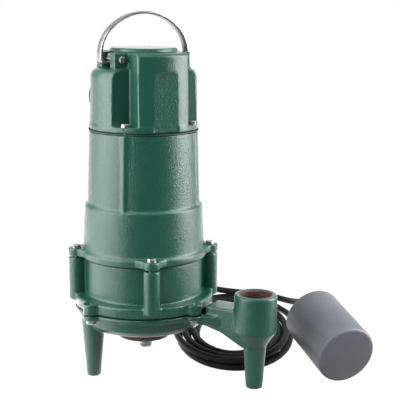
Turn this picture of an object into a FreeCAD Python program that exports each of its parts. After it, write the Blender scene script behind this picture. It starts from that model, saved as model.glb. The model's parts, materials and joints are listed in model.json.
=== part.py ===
"""Submersible sump pump with its float switch and cords, in millimetres.

+Z is up, +X runs along the discharge arm, and z = 0 is the floor that the three legs stand on.
The pieces about the pump's own axis are drawn with that axis at x = 0, and each one's Placement
moves it to the axis's place in the row, so that the middle of the pump's box is the origin.
"""

import FreeCAD, Part
import math
import os
import re
import Sketcher

Vector = FreeCAD.Vector
Rotation = FreeCAD.Rotation

# Driving dimensions, in millimetres, degrees and counts

SIZES = {
    # Turn of each bolt pattern and of the cap about the pump's axis, from the discharge arm
    "cap_turn": 56.7,
    "housing_bolt_turn": 38.0,
    "volute_bolt_turn": 75.2,
    # Legs and volute
    "leg_setback": 8.2,
    "rear_leg_shift": 4.0,
    "leg_foot_radius": 8.7,
    "leg_top_radius": 15.2,
    "leg_root": 12.0,
    "volute_bottom": 58.0,
    "volute_floor_thickness": 6.0,
    "volute_radius": 80.0,
    "volute_bevel": 18.0,
    "volute_shoulder_rise": 10.0,
    "volute_wall": 14.0,
    "volute_depth": 22.0,
    "volute_flange": 6.5,
    "lower_flange_reach": 8.0,
    "lower_bolt_reach": 1.0,
    "lower_ear_wall": 6.0,
    # Discharge arm and boss
    "boss_centre": 159.0,
    "boss_wall": 6.7,
    "boss_rise": 32.0,
    "boss_depth": 46.5,
    "boss_taper": 18.0,
    "boss_leg_radius": 14.2,
    "boss_foot_radius": 10.3,
    "bore_radius": 19.5,
    "bore_depth": 54.0,
    "arm_half_width": 16.0,
    "arm_rise": 11.5,
    "arm_gap": 10.0,
    "arm_flare_gap": 6.5,
    "arm_taper": 39.0,
    "arm_flare_half_width": 24.0,
    "duct_half_width": 12.0,
    "duct_rise": 14.0,
    "duct_height": 13.0,
    # Suction ring
    "suction_radius": 25.0,
    "ring_wall": 10.0,
    "ring_depth": 16.5,
    "ring_spigot_wall": 2.9,
    "ring_screw_edge": 4.4,
    "ring_screw_radius": 2.0,
    "ring_screw_lip": 1.4,
    # Gaskets
    "gasket_thickness": 1.5,
    "gasket_setback": 2.0,
    "gasket_edge": 4.5,
    "housing_gasket_edge": 1.0,
    "cap_gasket_proud": 0.7,
    # Seal housing
    "seal_housing_flange": 13.0,
    "seal_housing_setback": 5.4,
    "seal_housing_height": 60.0,
    "seal_housing_wall": 12.6,
    "seal_plate": 9.0,
    "bearing_plate": 12.0,
    "column_offset": 10.7,
    "column_wall": 6.1,
    "column_foot": 5.0,
    "column_web": 13.0,
    "bearing_hub_wall": 8.5,
    "bearing_hub_step": 10.0,
    "oil_plug_turn": 150.0,
    "oil_plug_rise": 33.0,
    "oil_plug_radius": 6.5,
    # Motor housing
    "housing_flange": 10.0,
    "housing_flange_setback": 5.3,
    "housing_ear_wall": 6.2,
    "housing_overhang": 2.0,
    "housing_low_draft": 2.6,
    "housing_step_rise": 66.5,
    "housing_step_ledge": 3.2,
    "housing_high_draft": 3.0,
    "housing_height": 158.75,
    "housing_wall": 5.3,
    "web_thickness": 16.0,
    "web_recess": 8.25,
    "web_ledge": 4.5,
    "upper_hub_wall": 8.0,
    "rib_width": 9.0,
    "rib_proud": 1.1,
    # Cap
    "cap_skirt": 7.75,
    "cap_height": 94.75,
    "cap_side_drop": 19.5,
    "cap_foot_setback": 1.0,
    "cap_draft": 1.9,
    "cap_arm_half_width": 33.5,
    "cap_wall": 6.0,
    "cap_ceiling": 7.0,
    "plateau_radius": 41.5,
    "plateau_rise": 5.0,
    "facet_depth": 2.05,
    "facet_half_width": 16.8,
    "facet_drop": 22.0,
    "facet_corner": 9.0,
    "side_shoulder": 10.0,
    "cap_screw_edge": 4.8,
    "cap_screw_radius": 3.0,
    "cap_screw_lip": 2.0,
    "cap_screw_reach": 22.0,
    "lug_width": 15.0,
    "lug_clearance": 6.65,
    "lug_edge": 8.5,
    # Lifting handle
    "handle_bolt_gap": 8.5,
    "handle_bolt_drop": 8.1,
    "handle_bolt_radius": 3.1,
    "handle_bolt_lip": 1.7,
    "handle_nut_wall": 2.1,
    "strap_width": 12.7,
    "strap_thickness": 3.0,
    "hoop_gap": 9.0,
    "hoop_spring_drop": 3.5,
    "hoop_side_radius": 46.0,
    "hoop_side_turn": 41.6,
    "hoop_foot_radius": 7.0,
    "strap_eye_clearance": 0.3,
    # Flange bolts
    "bolt_radius": 4.0,
    "bolt_clearance": 0.4,
    "bolt_head_lip": 2.6,
    "bolt_head_height": 5.0,
    "bolt_reach": 34.0,
    "thread_gap": 0.05,
    # Shaft, rotor and stator
    "shaft_radius": 12.0,
    "impeller_seat_step": 1.5,
    "seal_seat_step": 0.5,
    "lower_journal_step": 2.0,
    "upper_journal_step": 3.5,
    "shaft_clearance": 8.0,
    "impeller_gap": 2.5,
    "stator_rise": 36.5,
    "stator_height": 64.0,
    "stator_wall": 27.5,
    "air_gap": 0.5,
    "rotor_ring_depth": 7.0,
    "slot_count": 24,
    "slot_width": 5.0,
    "slot_back": 13.5,
    "winding_depth": 18.0,
    "winding_setback": 3.0,
    "winding_gap": 4.5,
    "fit_gap": 0.05,
    # Ball bearings
    "lower_race_depth": 13.5,
    "lower_race_width": 14.0,
    "lower_ball": 3.8,
    "upper_race_depth": 11.5,
    "upper_race_width": 12.0,
    "upper_ball": 3.2,
    "ball_count": 8,
    "ball_gap": 0.3,
    "race_lip": 0.62,
    # Seals
    "seal_face_gap": 0.3,
    "seal_ring_height": 6.0,
    "seal_spring_wire": 0.8,
    "seal_spring_turns": 2.5,
    # Capacitor
    "capacitor_radius": 16.0,
    "capacitor_height": 66.0,
    "capacitor_distance": 34.0,
    # Impeller
    "impeller_clearance": 14.0,
    "impeller_disc": 4.5,
    "impeller_hub_wall": 7.0,
    "vane_height": 9.0,
    "vane_width": 4.0,
    "vane_count": 6,
    "vane_sweep": 35.0,
    "impeller_screw_radius": 3.0,
    # Cords and glands
    "cord_radius": 4.5,
    "gland_spacing": 1.5,
    "gland_rise": 40.25,
    "gland_proud": 0.2,
    "gland_flange_lip": 5.3,
    "gland_flange": 6.0,
    "gland_length": 25.0,
    "gland_wall": 1.7,
    "gland_straight": 44.0,
    "coil_x": 2.3,
    "coil_y": 162.0,
    "coil_turn": 28.0,
    "coil_half_width": 84.5,
    "coil_half_depth": 149.0,
    "coil_gap": 3.3,
    "coil_lift": 0.6,
    "coil_turns": 3,
    "coil_straight": 29.0,
    # Float
    "float_radius": 38.0,
    "float_length": 98.0,
    "float_wall": 2.5,
    "float_edge": 4.0,
    "float_heading": -40.0,
    "float_dip": 14.5,
    "float_x": 137.5,
    "float_y": 125.0,
    "switch_tube_radius": 11.0,
    "switch_tube_wall": 4.0,
    "switch_ball_gap": 0.4,
    "switch_tube_length": 63.5,
    "switch_capsule_length": 18.0,
    "boot_length": 16.0,
    "boot_wall": 3.0,
    # Plug
    "plug_x": 146.7,
    "plug_y": 151.6,
    "plug_turn": -50.0,
    "plug_half_width": 15.0,
    "plug_height": 28.6,
    "plug_length": 45.0,
    "plug_sleeve": 20.0,
    "blade_length": 17.0,
    "blade_width": 6.35,
    "blade_thickness": 1.5,
    "blade_spacing": 12.7,
    "ground_pin_radius": 2.4,
}

DRAWN = {
    # Sizes that follow from the driving dimensions, each after those that it uses
    "leg_circle": "volute_radius - leg_setback",
    "volute_floor": "volute_bottom + volute_floor_thickness",
    "volute_bottom_radius": "volute_radius - volute_bevel",
    "volute_shoulder": "volute_bottom + volute_shoulder_rise",
    "chamber_radius": "volute_radius - volute_wall",
    "volute_flange_bottom": "volute_bottom + volute_depth",
    "lower_flange_radius": "volute_radius + lower_flange_reach",
    "lower_ear_radius": "bolt_radius + lower_ear_wall",
    "boss_radius": "bore_radius + boss_wall",
    "arm_flare_end": "boss_centre - arm_taper",
    "ring_radius": "suction_radius + ring_wall",
    "ring_bottom": "volute_bottom - ring_depth",
    "ring_spigot_radius": "suction_radius + ring_spigot_wall",
    "ring_screw_head": "ring_screw_radius + ring_screw_lip",
    "seal_housing_wall_radius": "volute_radius - seal_housing_setback",
    "column_radius": "bolt_radius + column_wall",
    "bearing_hub_depth": "lower_race_width + bearing_hub_step",
    "housing_ear_radius": "bolt_radius + housing_ear_wall",
    "cap_screw_head": "cap_screw_radius + cap_screw_lip",
    "lug_slot": "strap_width + 2 * lug_clearance",
    "handle_bolt_distance": "cap_arm_half_width + handle_bolt_gap",
    "handle_bolt_head": "handle_bolt_radius + handle_bolt_lip",
    "handle_nut_radius": "handle_bolt_radius + handle_nut_wall",
    "bolt_head_radius": "bolt_radius + bolt_head_lip",
    "lower_journal_radius": "shaft_radius - lower_journal_step",
    "upper_journal_radius": "shaft_radius - upper_journal_step",
    "slot_depth": "stator_wall - slot_back",
    "gland_tip_radius": "cord_radius + gland_wall",
    "coil_pitch": "2 * cord_radius + coil_gap",
    "coil_climb": "2 * cord_radius + coil_lift",
    "switch_ball_radius": "switch_tube_radius - switch_tube_wall",
    "boot_radius": "cord_radius + boot_wall",
    "float_end_height": "float_radius * cos(float_dip) + float_length * sin(float_dip)",
    "switch_tube_start": "float_length - float_wall - switch_tube_length",
    "rear_leg_circle": "leg_circle + rear_leg_shift",
    "leg_top": "volute_flange_bottom - leg_root",
    "volute_flange_top": "volute_flange_bottom + volute_flange",
    "volute_bolt_circle": "lower_flange_radius + lower_bolt_reach",
    "arm_start": "lower_flange_radius + arm_gap",
    "arm_flare_start": "lower_flange_radius + arm_flare_gap",
    "duct_bottom": "volute_floor + duct_rise",
    "ring_screw_circle": "ring_radius - ring_screw_edge",
    "volute_gasket_inner": "chamber_radius + gasket_setback",
    "volute_gasket_outer": "lower_flange_radius - gasket_edge",
    "oil_chamber_radius": "seal_housing_wall_radius - seal_housing_wall",
    "column_circle": "seal_housing_wall_radius + column_offset",
    "housing_low_radius": "seal_housing_wall_radius + housing_overhang",
    "lug_reach": "handle_bolt_distance + lug_edge",
    "seal_seat_radius": "lower_journal_radius - seal_seat_step",
    "shaft_bottom": "volute_floor + shaft_clearance",
    "lower_race_outer": "lower_journal_radius + lower_race_depth",
    "upper_race_outer": "upper_journal_radius + upper_race_depth",
    "impeller_radius": "chamber_radius - impeller_clearance",
    "gland_flange_radius": "gland_tip_radius + gland_flange_lip",
    "boss_top": "volute_flange_top + boss_rise",
    "arm_top": "volute_flange_top + arm_rise",
    "duct_top": "duct_bottom + duct_height",
    "housing_gasket_outer": "housing_low_radius - housing_gasket_edge",
    "bearing_hub_radius": "lower_race_outer + bearing_hub_wall",
    "housing_flange_radius": "column_circle - housing_flange_setback",
    "housing_step_low_radius": "housing_low_radius - housing_low_draft",
    "upper_hub_radius": "upper_race_outer + upper_hub_wall",
    "hoop_half_span": "lug_reach + hoop_gap",
    "impeller_seat_radius": "seal_seat_radius - impeller_seat_step",
    "gland_offset": "gland_flange_radius + gland_spacing",
    "seal_housing_bottom": "volute_flange_top + gasket_thickness",
    "pump_x": "(volute_bolt_circle * cos(90 - volute_bolt_turn) + lower_ear_radius"
    " - boss_centre - boss_radius) / 2",
    "boss_bottom": "boss_top - boss_depth",
    "bore_bottom": "boss_top - bore_depth",
    "seal_housing_top": "seal_housing_bottom + seal_housing_height",
    "column_bottom": "seal_housing_bottom + column_foot",
    "oil_plug_height": "seal_housing_bottom + oil_plug_rise",
    "housing_step_high_radius": "housing_step_low_radius - housing_step_ledge",
    "impeller_top": "seal_housing_bottom - impeller_gap",
    "impeller_hub_radius": "impeller_seat_radius + impeller_hub_wall",
    "seal_housing_shelf": "seal_housing_bottom + seal_housing_flange",
    "boss_leg_top": "boss_bottom - boss_taper",
    "housing_top_radius": "housing_step_high_radius - housing_high_draft",
    "housing_bottom": "seal_housing_top + gasket_thickness",
    "lower_bearing_bottom": "seal_housing_top - lower_race_width",
    "cap_gasket_outer": "housing_top_radius + cap_gasket_proud",
    "housing_step": "housing_bottom + housing_step_rise",
    "housing_top": "housing_bottom + housing_height",
    "motor_bore": "housing_top_radius - housing_wall",
    "cap_foot_radius": "housing_top_radius - cap_foot_setback",
    "cap_top_radius": "cap_foot_radius - cap_draft",
    "cap_screw_circle": "housing_top_radius - cap_screw_edge",
    "stator_bottom": "housing_bottom + stator_rise",
    "gland_seat": "housing_top_radius + gland_proud",
    "housing_flange_top": "housing_bottom + housing_flange",
    "housing_gasket_inner": "motor_bore + gasket_setback",
    "web_top": "housing_top - web_recess",
    "web_recess_radius": "motor_bore - web_ledge",
    "stator_top": "stator_bottom + stator_height",
    "stator_bore": "motor_bore - stator_wall",
    "winding_outer": "motor_bore - winding_gap",
    "gland_tip": "gland_seat + gland_length",
    "cap_bottom": "housing_top + gasket_thickness",
    "web_bottom": "web_top - web_thickness",
    "cap_top": "cap_bottom + cap_height",
    "winding_inner": "stator_bore + winding_setback",
    "gland_height": "cap_bottom + gland_rise",
    "cap_skirt_top": "cap_bottom + cap_skirt",
    "cap_side_top": "cap_top - cap_side_drop",
    "plateau_top": "cap_top + plateau_rise",
    "facet_top": "cap_top - facet_drop",
    "handle_bolt_height": "cap_top - handle_bolt_drop",
    "hoop_spring": "cap_top - hoop_spring_drop",
    "upper_bearing_top": "web_bottom + upper_race_width",
}

doc = FreeCAD.newDocument("sump_pump")
sheet = doc.addObject("Spreadsheet::Sheet", "sizes")
SUB_PARTS = []


def bound(text):
    """Writes each named size of an expression as a cell of the sheet."""
    named = SIZES.keys() | DRAWN.keys()
    return re.sub(r"[a-z][a-z0-9_]*", lambda m: "sizes." + m[0] if m[0] in named else m[0], str(text))


def value(text):
    """The number that an expression of named sizes has now."""
    return float(sheet.evalExpression(bound(text)))


def fill_sheet():
    """Puts the driving dimensions in column B and the derived ones below them."""
    row = 0
    for name, number in SIZES.items():
        row += 1
        sheet.set(f"A{row}", name)
        sheet.set(f"B{row}", str(number))
        sheet.setAlias(f"B{row}", name)
    for name, formula in DRAWN.items():
        row += 1
        sheet.set(f"A{row}", name)
        sheet.set(f"B{row}", "=" + formula)
        sheet.setAlias(f"B{row}", name)
    doc.recompute()


# Helpers that make primitives, profiles and booleans from expressions


def bind(item, **texts):
    """Binds properties of an object to expressions of named sizes."""
    for name, text in texts.items():
        item.setExpression(name, bound(text))


def place(item, x=0, y=0, z=0, turn=None, about=None):
    """Binds an object's place, and its turn about +Z or another axis, to expressions."""
    if about is not None:
        item.Placement = FreeCAD.Placement(Vector(), Rotation(about, 30))
    for axis, text in (("x", x), ("y", y), ("z", z)):
        item.setExpression("Placement.Base." + axis, bound(text))
    if turn is not None:
        item.setExpression("Placement.Rotation.Angle", bound(turn))
    return item


def cylinder(name, radius, height, x=0, y=0, z=0, turn=None, about=None):
    """A cylinder that rises from its place, or leans as turn and about say."""
    item = doc.addObject("Part::Cylinder", name)
    bind(item, Radius=radius, Height=height)
    return place(item, x, y, z, turn, about)


def cone(name, low, high, height, x=0, y=0, z=0, turn=None, about=None):
    """A cone from its low radius to its high one."""
    item = doc.addObject("Part::Cone", name)
    bind(item, Radius1=low, Radius2=high, Height=height)
    return place(item, x, y, z, turn, about)


def block(name, length, width, height, x=0, y=0, z=0, turn=None):
    """A box whose corner is at its place."""
    item = doc.addObject("Part::Box", name)
    bind(item, Length=length, Width=width, Height=height)
    return place(item, x, y, z, turn)


def hexagon(name, radius, height, x=0, y=0, z=0, turn=None, about=None):
    """A six-sided prism, such as a screw's head, of the radius over its corners."""
    item = doc.addObject("Part::Prism", name)
    item.Polygon = 6
    bind(item, Circumradius=radius, Height=height)
    return place(item, x, y, z, turn, about)


def sphere(name, radius, x=0, y=0, z=0):
    """A ball about its place."""
    item = doc.addObject("Part::Sphere", name)
    bind(item, Radius=radius)
    return place(item, x, y, z)


def fuse(name, items):
    """One solid from several that meet."""
    item = doc.addObject("Part::MultiFuse", name)
    item.Shapes = items
    item.Refine = True
    return item


def cut(name, base, tools):
    """A base with each tool taken away."""
    tool = tools[0] if len(tools) == 1 else fuse(name + "_tools", tools)
    item = doc.addObject("Part::Cut", name)
    item.Base = base
    item.Tool = tool
    return item


def common(name, items):
    """What several solids share."""
    item = doc.addObject("Part::MultiCommon", name)
    item.Shapes = items
    return item


def group(name, items):
    """Separate solids that one node holds."""
    item = doc.addObject("Part::Compound", name)
    item.Links = items
    return item


def sketch(body, name, plane, points):
    """A closed outline whose corners are bound to expressions, on one of the body's planes."""
    planes = {feature.Role: feature for feature in body.Origin.OriginFeatures}
    item = body.newObject("Sketcher::SketchObject", name)
    item.AttachmentSupport = (planes[plane], [""])
    item.MapMode = "FlatFace"
    corners = [Vector(value(x), value(y), 0) for x, y in points]
    for number, corner in enumerate(corners):
        item.addGeometry(Part.LineSegment(corner, corners[(number + 1) % len(corners)]))
    for number in range(len(corners)):
        after = (number + 1) % len(corners)
        item.addConstraint(Sketcher.Constraint("Coincident", number, 2, after, 1))
    for number, (x, y) in enumerate(points):
        for kind, text, axis in (("DistanceX", x, -2), ("DistanceY", y, -1)):
            if str(text) == "0":
                item.addConstraint(Sketcher.Constraint("PointOnObject", number, 1, axis))
                continue
            rule = Sketcher.Constraint(kind, -1, 1, number, 1, value(text))
            index = item.addConstraint(rule)
            item.setExpression(f"Constraints[{index}]", bound(text))
    return item


def turned(name, points):
    """A body turned about +Z from an outline of radius and height."""
    body = doc.addObject("PartDesign::Body", name)
    outline = sketch(body, name + "_outline", "XZ_Plane", points)
    turn = body.newObject("PartDesign::Revolution", name + "_turn")
    turn.Profile = outline
    turn.ReferenceAxis = (outline, ["V_Axis"])
    turn.Angle = 360
    doc.recompute()
    return body


def padded(name, points, height):
    """A body raised from an outline seen from above."""
    body = doc.addObject("PartDesign::Body", name)
    outline = sketch(body, name + "_outline", "XY_Plane", points)
    pad = body.newObject("PartDesign::Pad", name + "_pad")
    pad.Profile = outline
    bind(pad, Length=height)
    doc.recompute()
    return body


def ring(name, outer, inner, height, z):
    """A plain ring about the axis, as a turned body."""
    low, high = f"{z}", f"{z} + {height}"
    return turned(name, [(inner, low), (outer, low), (outer, high), (inner, high)])


def around(distance, angle, number, count):
    """The x and y, as expressions, of one of several places on a circle."""
    bearing = f"({angle} + {number} * 360 / {count})"
    return f"({distance}) * cos({bearing})", f"({distance}) * sin({bearing})"


def sideways(bearing):
    """The axis that turns +Z outwards, away from the pump's axis, at a bearing."""
    angle = math.radians(value(bearing))
    return Vector(-math.sin(angle), math.cos(angle), 0)


def sub_part(item, name, turn=None, x="pump_x"):
    """Labels a finished piece, which names its file, and moves it to its place in the row."""
    if item.TypeId.startswith("Part::") and item.TypeId.split("::")[1] in PRIMITIVES:
        item = group(name + "_piece", [item])
    item.Label = name
    place(item, x, 0, 0, turn)
    SUB_PARTS.append((name, item))
    return item


PRIMITIVES = ("Cylinder", "Cone", "Box", "Prism", "Sphere")


# Volute, legs, discharge and suction ring


def volute():
    """The cast volute: bowl, flange with ears, discharge arm and boss, and its three legs."""
    bowl = turned("volute_bowl", [
        ("0", "volute_bottom"),
        ("volute_bottom_radius", "volute_bottom"),
        ("volute_bottom_radius + 11", "volute_bottom + 3"),
        ("volute_radius", "volute_shoulder"),
        ("volute_radius + 1.5", "volute_flange_bottom"),
        ("lower_flange_radius", "volute_flange_bottom"),
        ("lower_flange_radius", "volute_flange_top"),
        ("0", "volute_flange_top"),
    ])
    solids = [bowl]
    height = "volute_flange_top - volute_flange_bottom"
    for number in range(4):
        x, y = around("volute_bolt_circle", "volute_bolt_turn", number, 4)
        solids.append(cylinder(f"volute_ear_{number}", "lower_ear_radius", height, x, y, "volute_flange_bottom"))
    for number, circle in ((1, "rear_leg_circle"), (2, "leg_circle")):
        x, y = around(circle, 0, number, 3)
        solids.append(cone(f"leg_{number}", "leg_foot_radius", "leg_top_radius", "leg_top", x, y))
        solids.append(cylinder(f"leg_root_{number}", "leg_top_radius", "volute_flange_bottom - leg_top",
                               x, y, "leg_top"))
    arm = doc.addObject("PartDesign::Body", "discharge_arm")
    outline = sketch(arm, "arm_outline", "XZ_Plane", [
        ("volute_bottom_radius", "volute_bottom + 12"),
        ("volute_radius + 15", "volute_bottom + 15"),
        ("boss_centre - arm_taper", "volute_bottom + 9"),
        ("boss_centre - 9", "boss_leg_top - 2"),
        ("boss_centre", "boss_leg_top - 2"),
        ("boss_centre", "arm_top"),
        ("arm_start", "arm_top"),
        ("arm_start", "volute_flange_top"),
        ("volute_bottom_radius", "volute_flange_top"),
    ])
    pad = arm.newObject("PartDesign::Pad", "arm_pad")
    pad.Profile = outline
    pad.Midplane = True
    bind(pad, Length="arm_half_width * 2")
    doc.recompute()
    flare = padded("arm_flare", [
        ("arm_flare_start", "-arm_flare_half_width"),
        ("arm_flare_end", "-arm_half_width"),
        ("arm_flare_end", "arm_half_width"),
        ("arm_flare_start", "arm_flare_half_width"),
    ], "volute_flange_top - volute_bottom - 17")
    place(flare, 0, 0, "volute_bottom + 17")
    boss = turned("discharge_boss", [
        ("0", "0"),
        ("boss_foot_radius", "0"),
        ("boss_leg_radius", "boss_leg_top"),
        ("boss_radius", "boss_bottom"),
        ("boss_radius", "boss_top - 1.5"),
        ("boss_radius - 1.5", "boss_top"),
        ("0", "boss_top"),
    ])
    place(boss, "boss_centre", 0, 0)
    solids += [arm, flare, boss]
    chamber_height = "volute_flange_top - volute_floor + 1"
    hollows = [
        cylinder("chamber", "chamber_radius", chamber_height, 0, 0, "volute_floor"),
        cylinder("ring_seat", "ring_spigot_radius + fit_gap", "20", 0, 0, "volute_bottom - 10"),
        block("duct", "boss_centre - chamber_radius + 12", "duct_half_width * 2",
              "duct_top - duct_bottom", "chamber_radius - 12", "-duct_half_width", "duct_bottom"),
        cylinder("discharge_bore", "bore_radius", "boss_top - bore_bottom + 1", "boss_centre", 0, "bore_bottom"),
    ]
    for number in range(4):
        x, y = around("volute_bolt_circle", "volute_bolt_turn", number, 4)
        hollows.append(cylinder(f"volute_hole_{number}", "bolt_radius + bolt_clearance", "20",
                                x, y, "volute_flange_bottom - 5"))
    for number in range(3):
        x, y = around("ring_screw_circle", 60, number, 3)
        hollows.append(cylinder(f"ring_thread_{number}", "ring_screw_radius + thread_gap", "5",
                                x, y, "volute_bottom - 1"))
    sub_part(cut("volute_casting", fuse("volute_solids", solids), hollows), "volute")


def suction_ring():
    """The red-brown ring under the volute, held by three screws, that the water goes in by."""
    body = turned("suction_ring_turned", [
        ("suction_radius", "ring_bottom"),
        ("ring_radius - 3", "ring_bottom"),
        ("ring_radius", "ring_bottom + 3"),
        ("ring_radius", "volute_bottom"),
        ("ring_spigot_radius", "volute_bottom"),
        ("ring_spigot_radius", "volute_floor"),
        ("suction_radius", "volute_floor"),
    ])
    holes, screws = [], []
    for number in range(3):
        x, y = around("ring_screw_circle", 60, number, 3)
        holes.append(cylinder(f"ring_hole_{number}", "ring_screw_radius + 0.2", "30", x, y, "ring_bottom - 5"))
        head = cylinder(f"ring_head_{number}", "ring_screw_head - 0.3", "2", x, y, "ring_bottom - 2")
        shank = cylinder(f"ring_shank_{number}", "ring_screw_radius", "volute_bottom - ring_bottom + 3.5",
                         x, y, "ring_bottom")
        screws.append(fuse(f"ring_screw_{number}", [head, shank]))
    sub_part(cut("suction_ring_drilled", body, holes), "suction_ring")
    sub_part(group("suction_ring_screw_set", screws), "suction_ring_screws")


# Seal housing between the volute and the motor


def seal_housing():
    """The cast seal housing: two plates, an oil chamber, four bolt columns and a bearing hub."""
    shell = turned("seal_housing_shell", [
        ("impeller_hub_radius + 1", "seal_housing_bottom"),
        ("lower_flange_radius", "seal_housing_bottom"),
        ("lower_flange_radius", "seal_housing_shelf - 1.5"),
        ("lower_flange_radius - 1.5", "seal_housing_shelf"),
        ("seal_housing_wall_radius", "seal_housing_shelf"),
        ("seal_housing_wall_radius", "seal_housing_top"),
        ("lower_journal_radius + 1", "seal_housing_top"),
        ("lower_journal_radius + 1", "seal_housing_top - bearing_hub_depth"),
        ("bearing_hub_radius", "seal_housing_top - bearing_hub_depth"),
        ("bearing_hub_radius", "seal_housing_top - bearing_plate"),
        ("oil_chamber_radius", "seal_housing_top - bearing_plate"),
        ("oil_chamber_radius", "seal_housing_bottom + seal_plate"),
        ("impeller_hub_radius + 1", "seal_housing_bottom + seal_plate"),
    ])
    solids, hollows = [shell], []
    for number in range(4):
        x, y = around("volute_bolt_circle", "volute_bolt_turn", number, 4)
        solids.append(cylinder(f"lower_ear_{number}", "lower_ear_radius", "seal_housing_flange",
                               x, y, "seal_housing_bottom"))
        hollows.append(cylinder(f"lower_thread_{number}", "bolt_radius + thread_gap", "seal_housing_flange + 1",
                                x, y, "seal_housing_bottom - 1"))
        x, y = around("column_circle", "housing_bolt_turn", number, 4)
        solids.append(cylinder(f"column_{number}", "column_radius", "seal_housing_top - column_bottom",
                               x, y, "column_bottom"))
        web = block(f"column_web_{number}", "column_circle - seal_housing_wall_radius + 4", "column_web",
                    "seal_housing_top - seal_housing_shelf + 4", "seal_housing_wall_radius - 4",
                    "-column_web / 2", "seal_housing_shelf - 4")
        solids.append(place(group(f"column_web_place_{number}", [web]), 0, 0, 0,
                            f"housing_bolt_turn + {number} * 90"))
        hollows.append(cylinder(f"column_thread_{number}", "bolt_radius + thread_gap", "bolt_reach",
                                x, y, "seal_housing_top - bolt_reach + 0.5"))
    hollows.append(cylinder("lower_bearing_pocket", "lower_race_outer + fit_gap", "lower_race_width + 1",
                            0, 0, "lower_bearing_bottom"))
    x, y = around("seal_housing_wall_radius - 18", "oil_plug_turn", 0, 1)
    hollows.append(cylinder("oil_hole", "oil_plug_radius + thread_gap", "30", x, y, "oil_plug_height", 90,
                            sideways("oil_plug_turn")))
    sub_part(cut("seal_housing_casting", fuse("seal_housing_solids", solids), hollows), "seal_housing")


def flange_bolts():
    """Two sets of four hexagon bolts: down into the columns, and up through the volute's ears."""
    upper, lower = [], []
    reach = "housing_flange_top - seal_housing_top + bolt_reach - 2"
    for number in range(4):
        x, y = around("column_circle", "housing_bolt_turn", number, 4)
        head = hexagon(f"upper_head_{number}", "bolt_head_radius", "bolt_head_height", x, y, "housing_flange_top")
        shank = cylinder(f"upper_shank_{number}", "bolt_radius", reach, x, y, f"housing_flange_top - ({reach})")
        upper.append(fuse(f"upper_bolt_{number}", [head, shank]))
        x, y = around("volute_bolt_circle", "volute_bolt_turn", number, 4)
        head = hexagon(f"lower_head_{number}", "bolt_head_radius", "bolt_head_height",
                       x, y, "volute_flange_bottom - bolt_head_height", f"volute_bolt_turn + {number} * 90")
        shank = cylinder(f"lower_shank_{number}", "bolt_radius", "seal_housing_shelf - volute_flange_bottom - 1",
                         x, y, "volute_flange_bottom")
        lower.append(fuse(f"lower_bolt_{number}", [head, shank]))
    sub_part(group("upper_bolt_set", upper), "housing_bolts")
    sub_part(group("lower_bolt_set", lower), "volute_bolts")


def gaskets():
    """The three flat gaskets, at the volute, the motor housing and the cap."""
    plain = ring("volute_gasket_ring", "volute_gasket_outer", "volute_gasket_inner",
                 "gasket_thickness", "volute_flange_top")
    sub_part(plain, "volute_gasket")
    plain = ring("housing_gasket_ring", "housing_gasket_outer", "housing_gasket_inner",
                 "gasket_thickness", "seal_housing_top")
    sub_part(plain, "housing_gasket")
    plain = ring("cap_gasket_ring", "cap_gasket_outer", "web_recess_radius", "gasket_thickness", "housing_top")
    holes = []
    for number in range(4):
        x, y = around("cap_screw_circle", 45, number, 4)
        holes.append(cylinder(f"gasket_hole_{number}", "cap_screw_radius + 0.2", "5", x, y, "housing_top - 1"))
    sub_part(cut("cap_gasket_punched", plain, holes), "cap_gasket", "cap_turn")


# Motor housing and cap


def motor_housing():
    """The cast motor housing: a drafted wall with a step, four eared flange, ribs and a top web."""
    shell = turned("housing_shell", [
        ("motor_bore + fit_gap", "housing_bottom"),
        ("housing_flange_radius", "housing_bottom"),
        ("housing_flange_radius", "housing_flange_top - 1.5"),
        ("housing_low_radius + 0.6", "housing_flange_top"),
        ("housing_low_radius", "housing_flange_top + 6"),
        ("housing_step_low_radius", "housing_step - 1.5"),
        ("housing_step_high_radius", "housing_step + 1"),
        ("housing_top_radius", "housing_top"),
        ("web_recess_radius", "housing_top"),
        ("web_recess_radius", "web_top"),
        ("upper_journal_radius + 2", "web_top"),
        ("upper_journal_radius + 2", "upper_bearing_top"),
        ("upper_race_outer + fit_gap", "upper_bearing_top"),
        ("upper_race_outer + fit_gap", "web_bottom - 6"),
        ("upper_hub_radius", "web_bottom - 6"),
        ("upper_hub_radius", "web_bottom"),
        ("motor_bore + fit_gap", "web_bottom"),
    ])
    solids, hollows = [shell], []
    for number in range(4):
        x, y = around("column_circle", "housing_bolt_turn", number, 4)
        solids.append(cylinder(f"housing_ear_{number}", "housing_ear_radius", "housing_flange",
                               x, y, "housing_bottom"))
        hollows.append(cylinder(f"housing_hole_{number}", "bolt_radius + bolt_clearance", "30",
                                x, y, "housing_bottom - 5"))
        x, y = around("cap_screw_circle", "cap_turn + 45", number, 4)
        rib = block(f"rib_{number}", "6", "rib_width", "housing_top - housing_step",
                    "housing_top_radius + rib_proud - 6", "-rib_width / 2", "housing_step")
        solids.append(place(group(f"rib_place_{number}", [rib]), 0, 0, 0, f"cap_turn + 45 + {number} * 90"))
        hollows.append(cylinder(f"cap_thread_{number}", "cap_screw_radius + thread_gap", "cap_screw_reach",
                                x, y, "housing_top - cap_screw_reach + 1"))
    sub_part(cut("housing_casting", fuse("housing_solids", solids), hollows), "motor_housing")


def cross(name, half_width, side_top, whole_top, low, reach):
    """Two crossed bars, the one along the handle being lower, between two heights."""
    front = block(name + "_front", f"2 * ({half_width})", f"2 * ({reach})", f"({whole_top}) - ({low})",
                  f"-({half_width})", f"-({reach})", low)
    side = block(name + "_side", f"2 * ({reach})", f"2 * ({half_width})", f"({side_top}) - ({low})",
                 f"-({reach})", f"-({half_width})", low)
    return fuse(name, [front, side])


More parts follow.
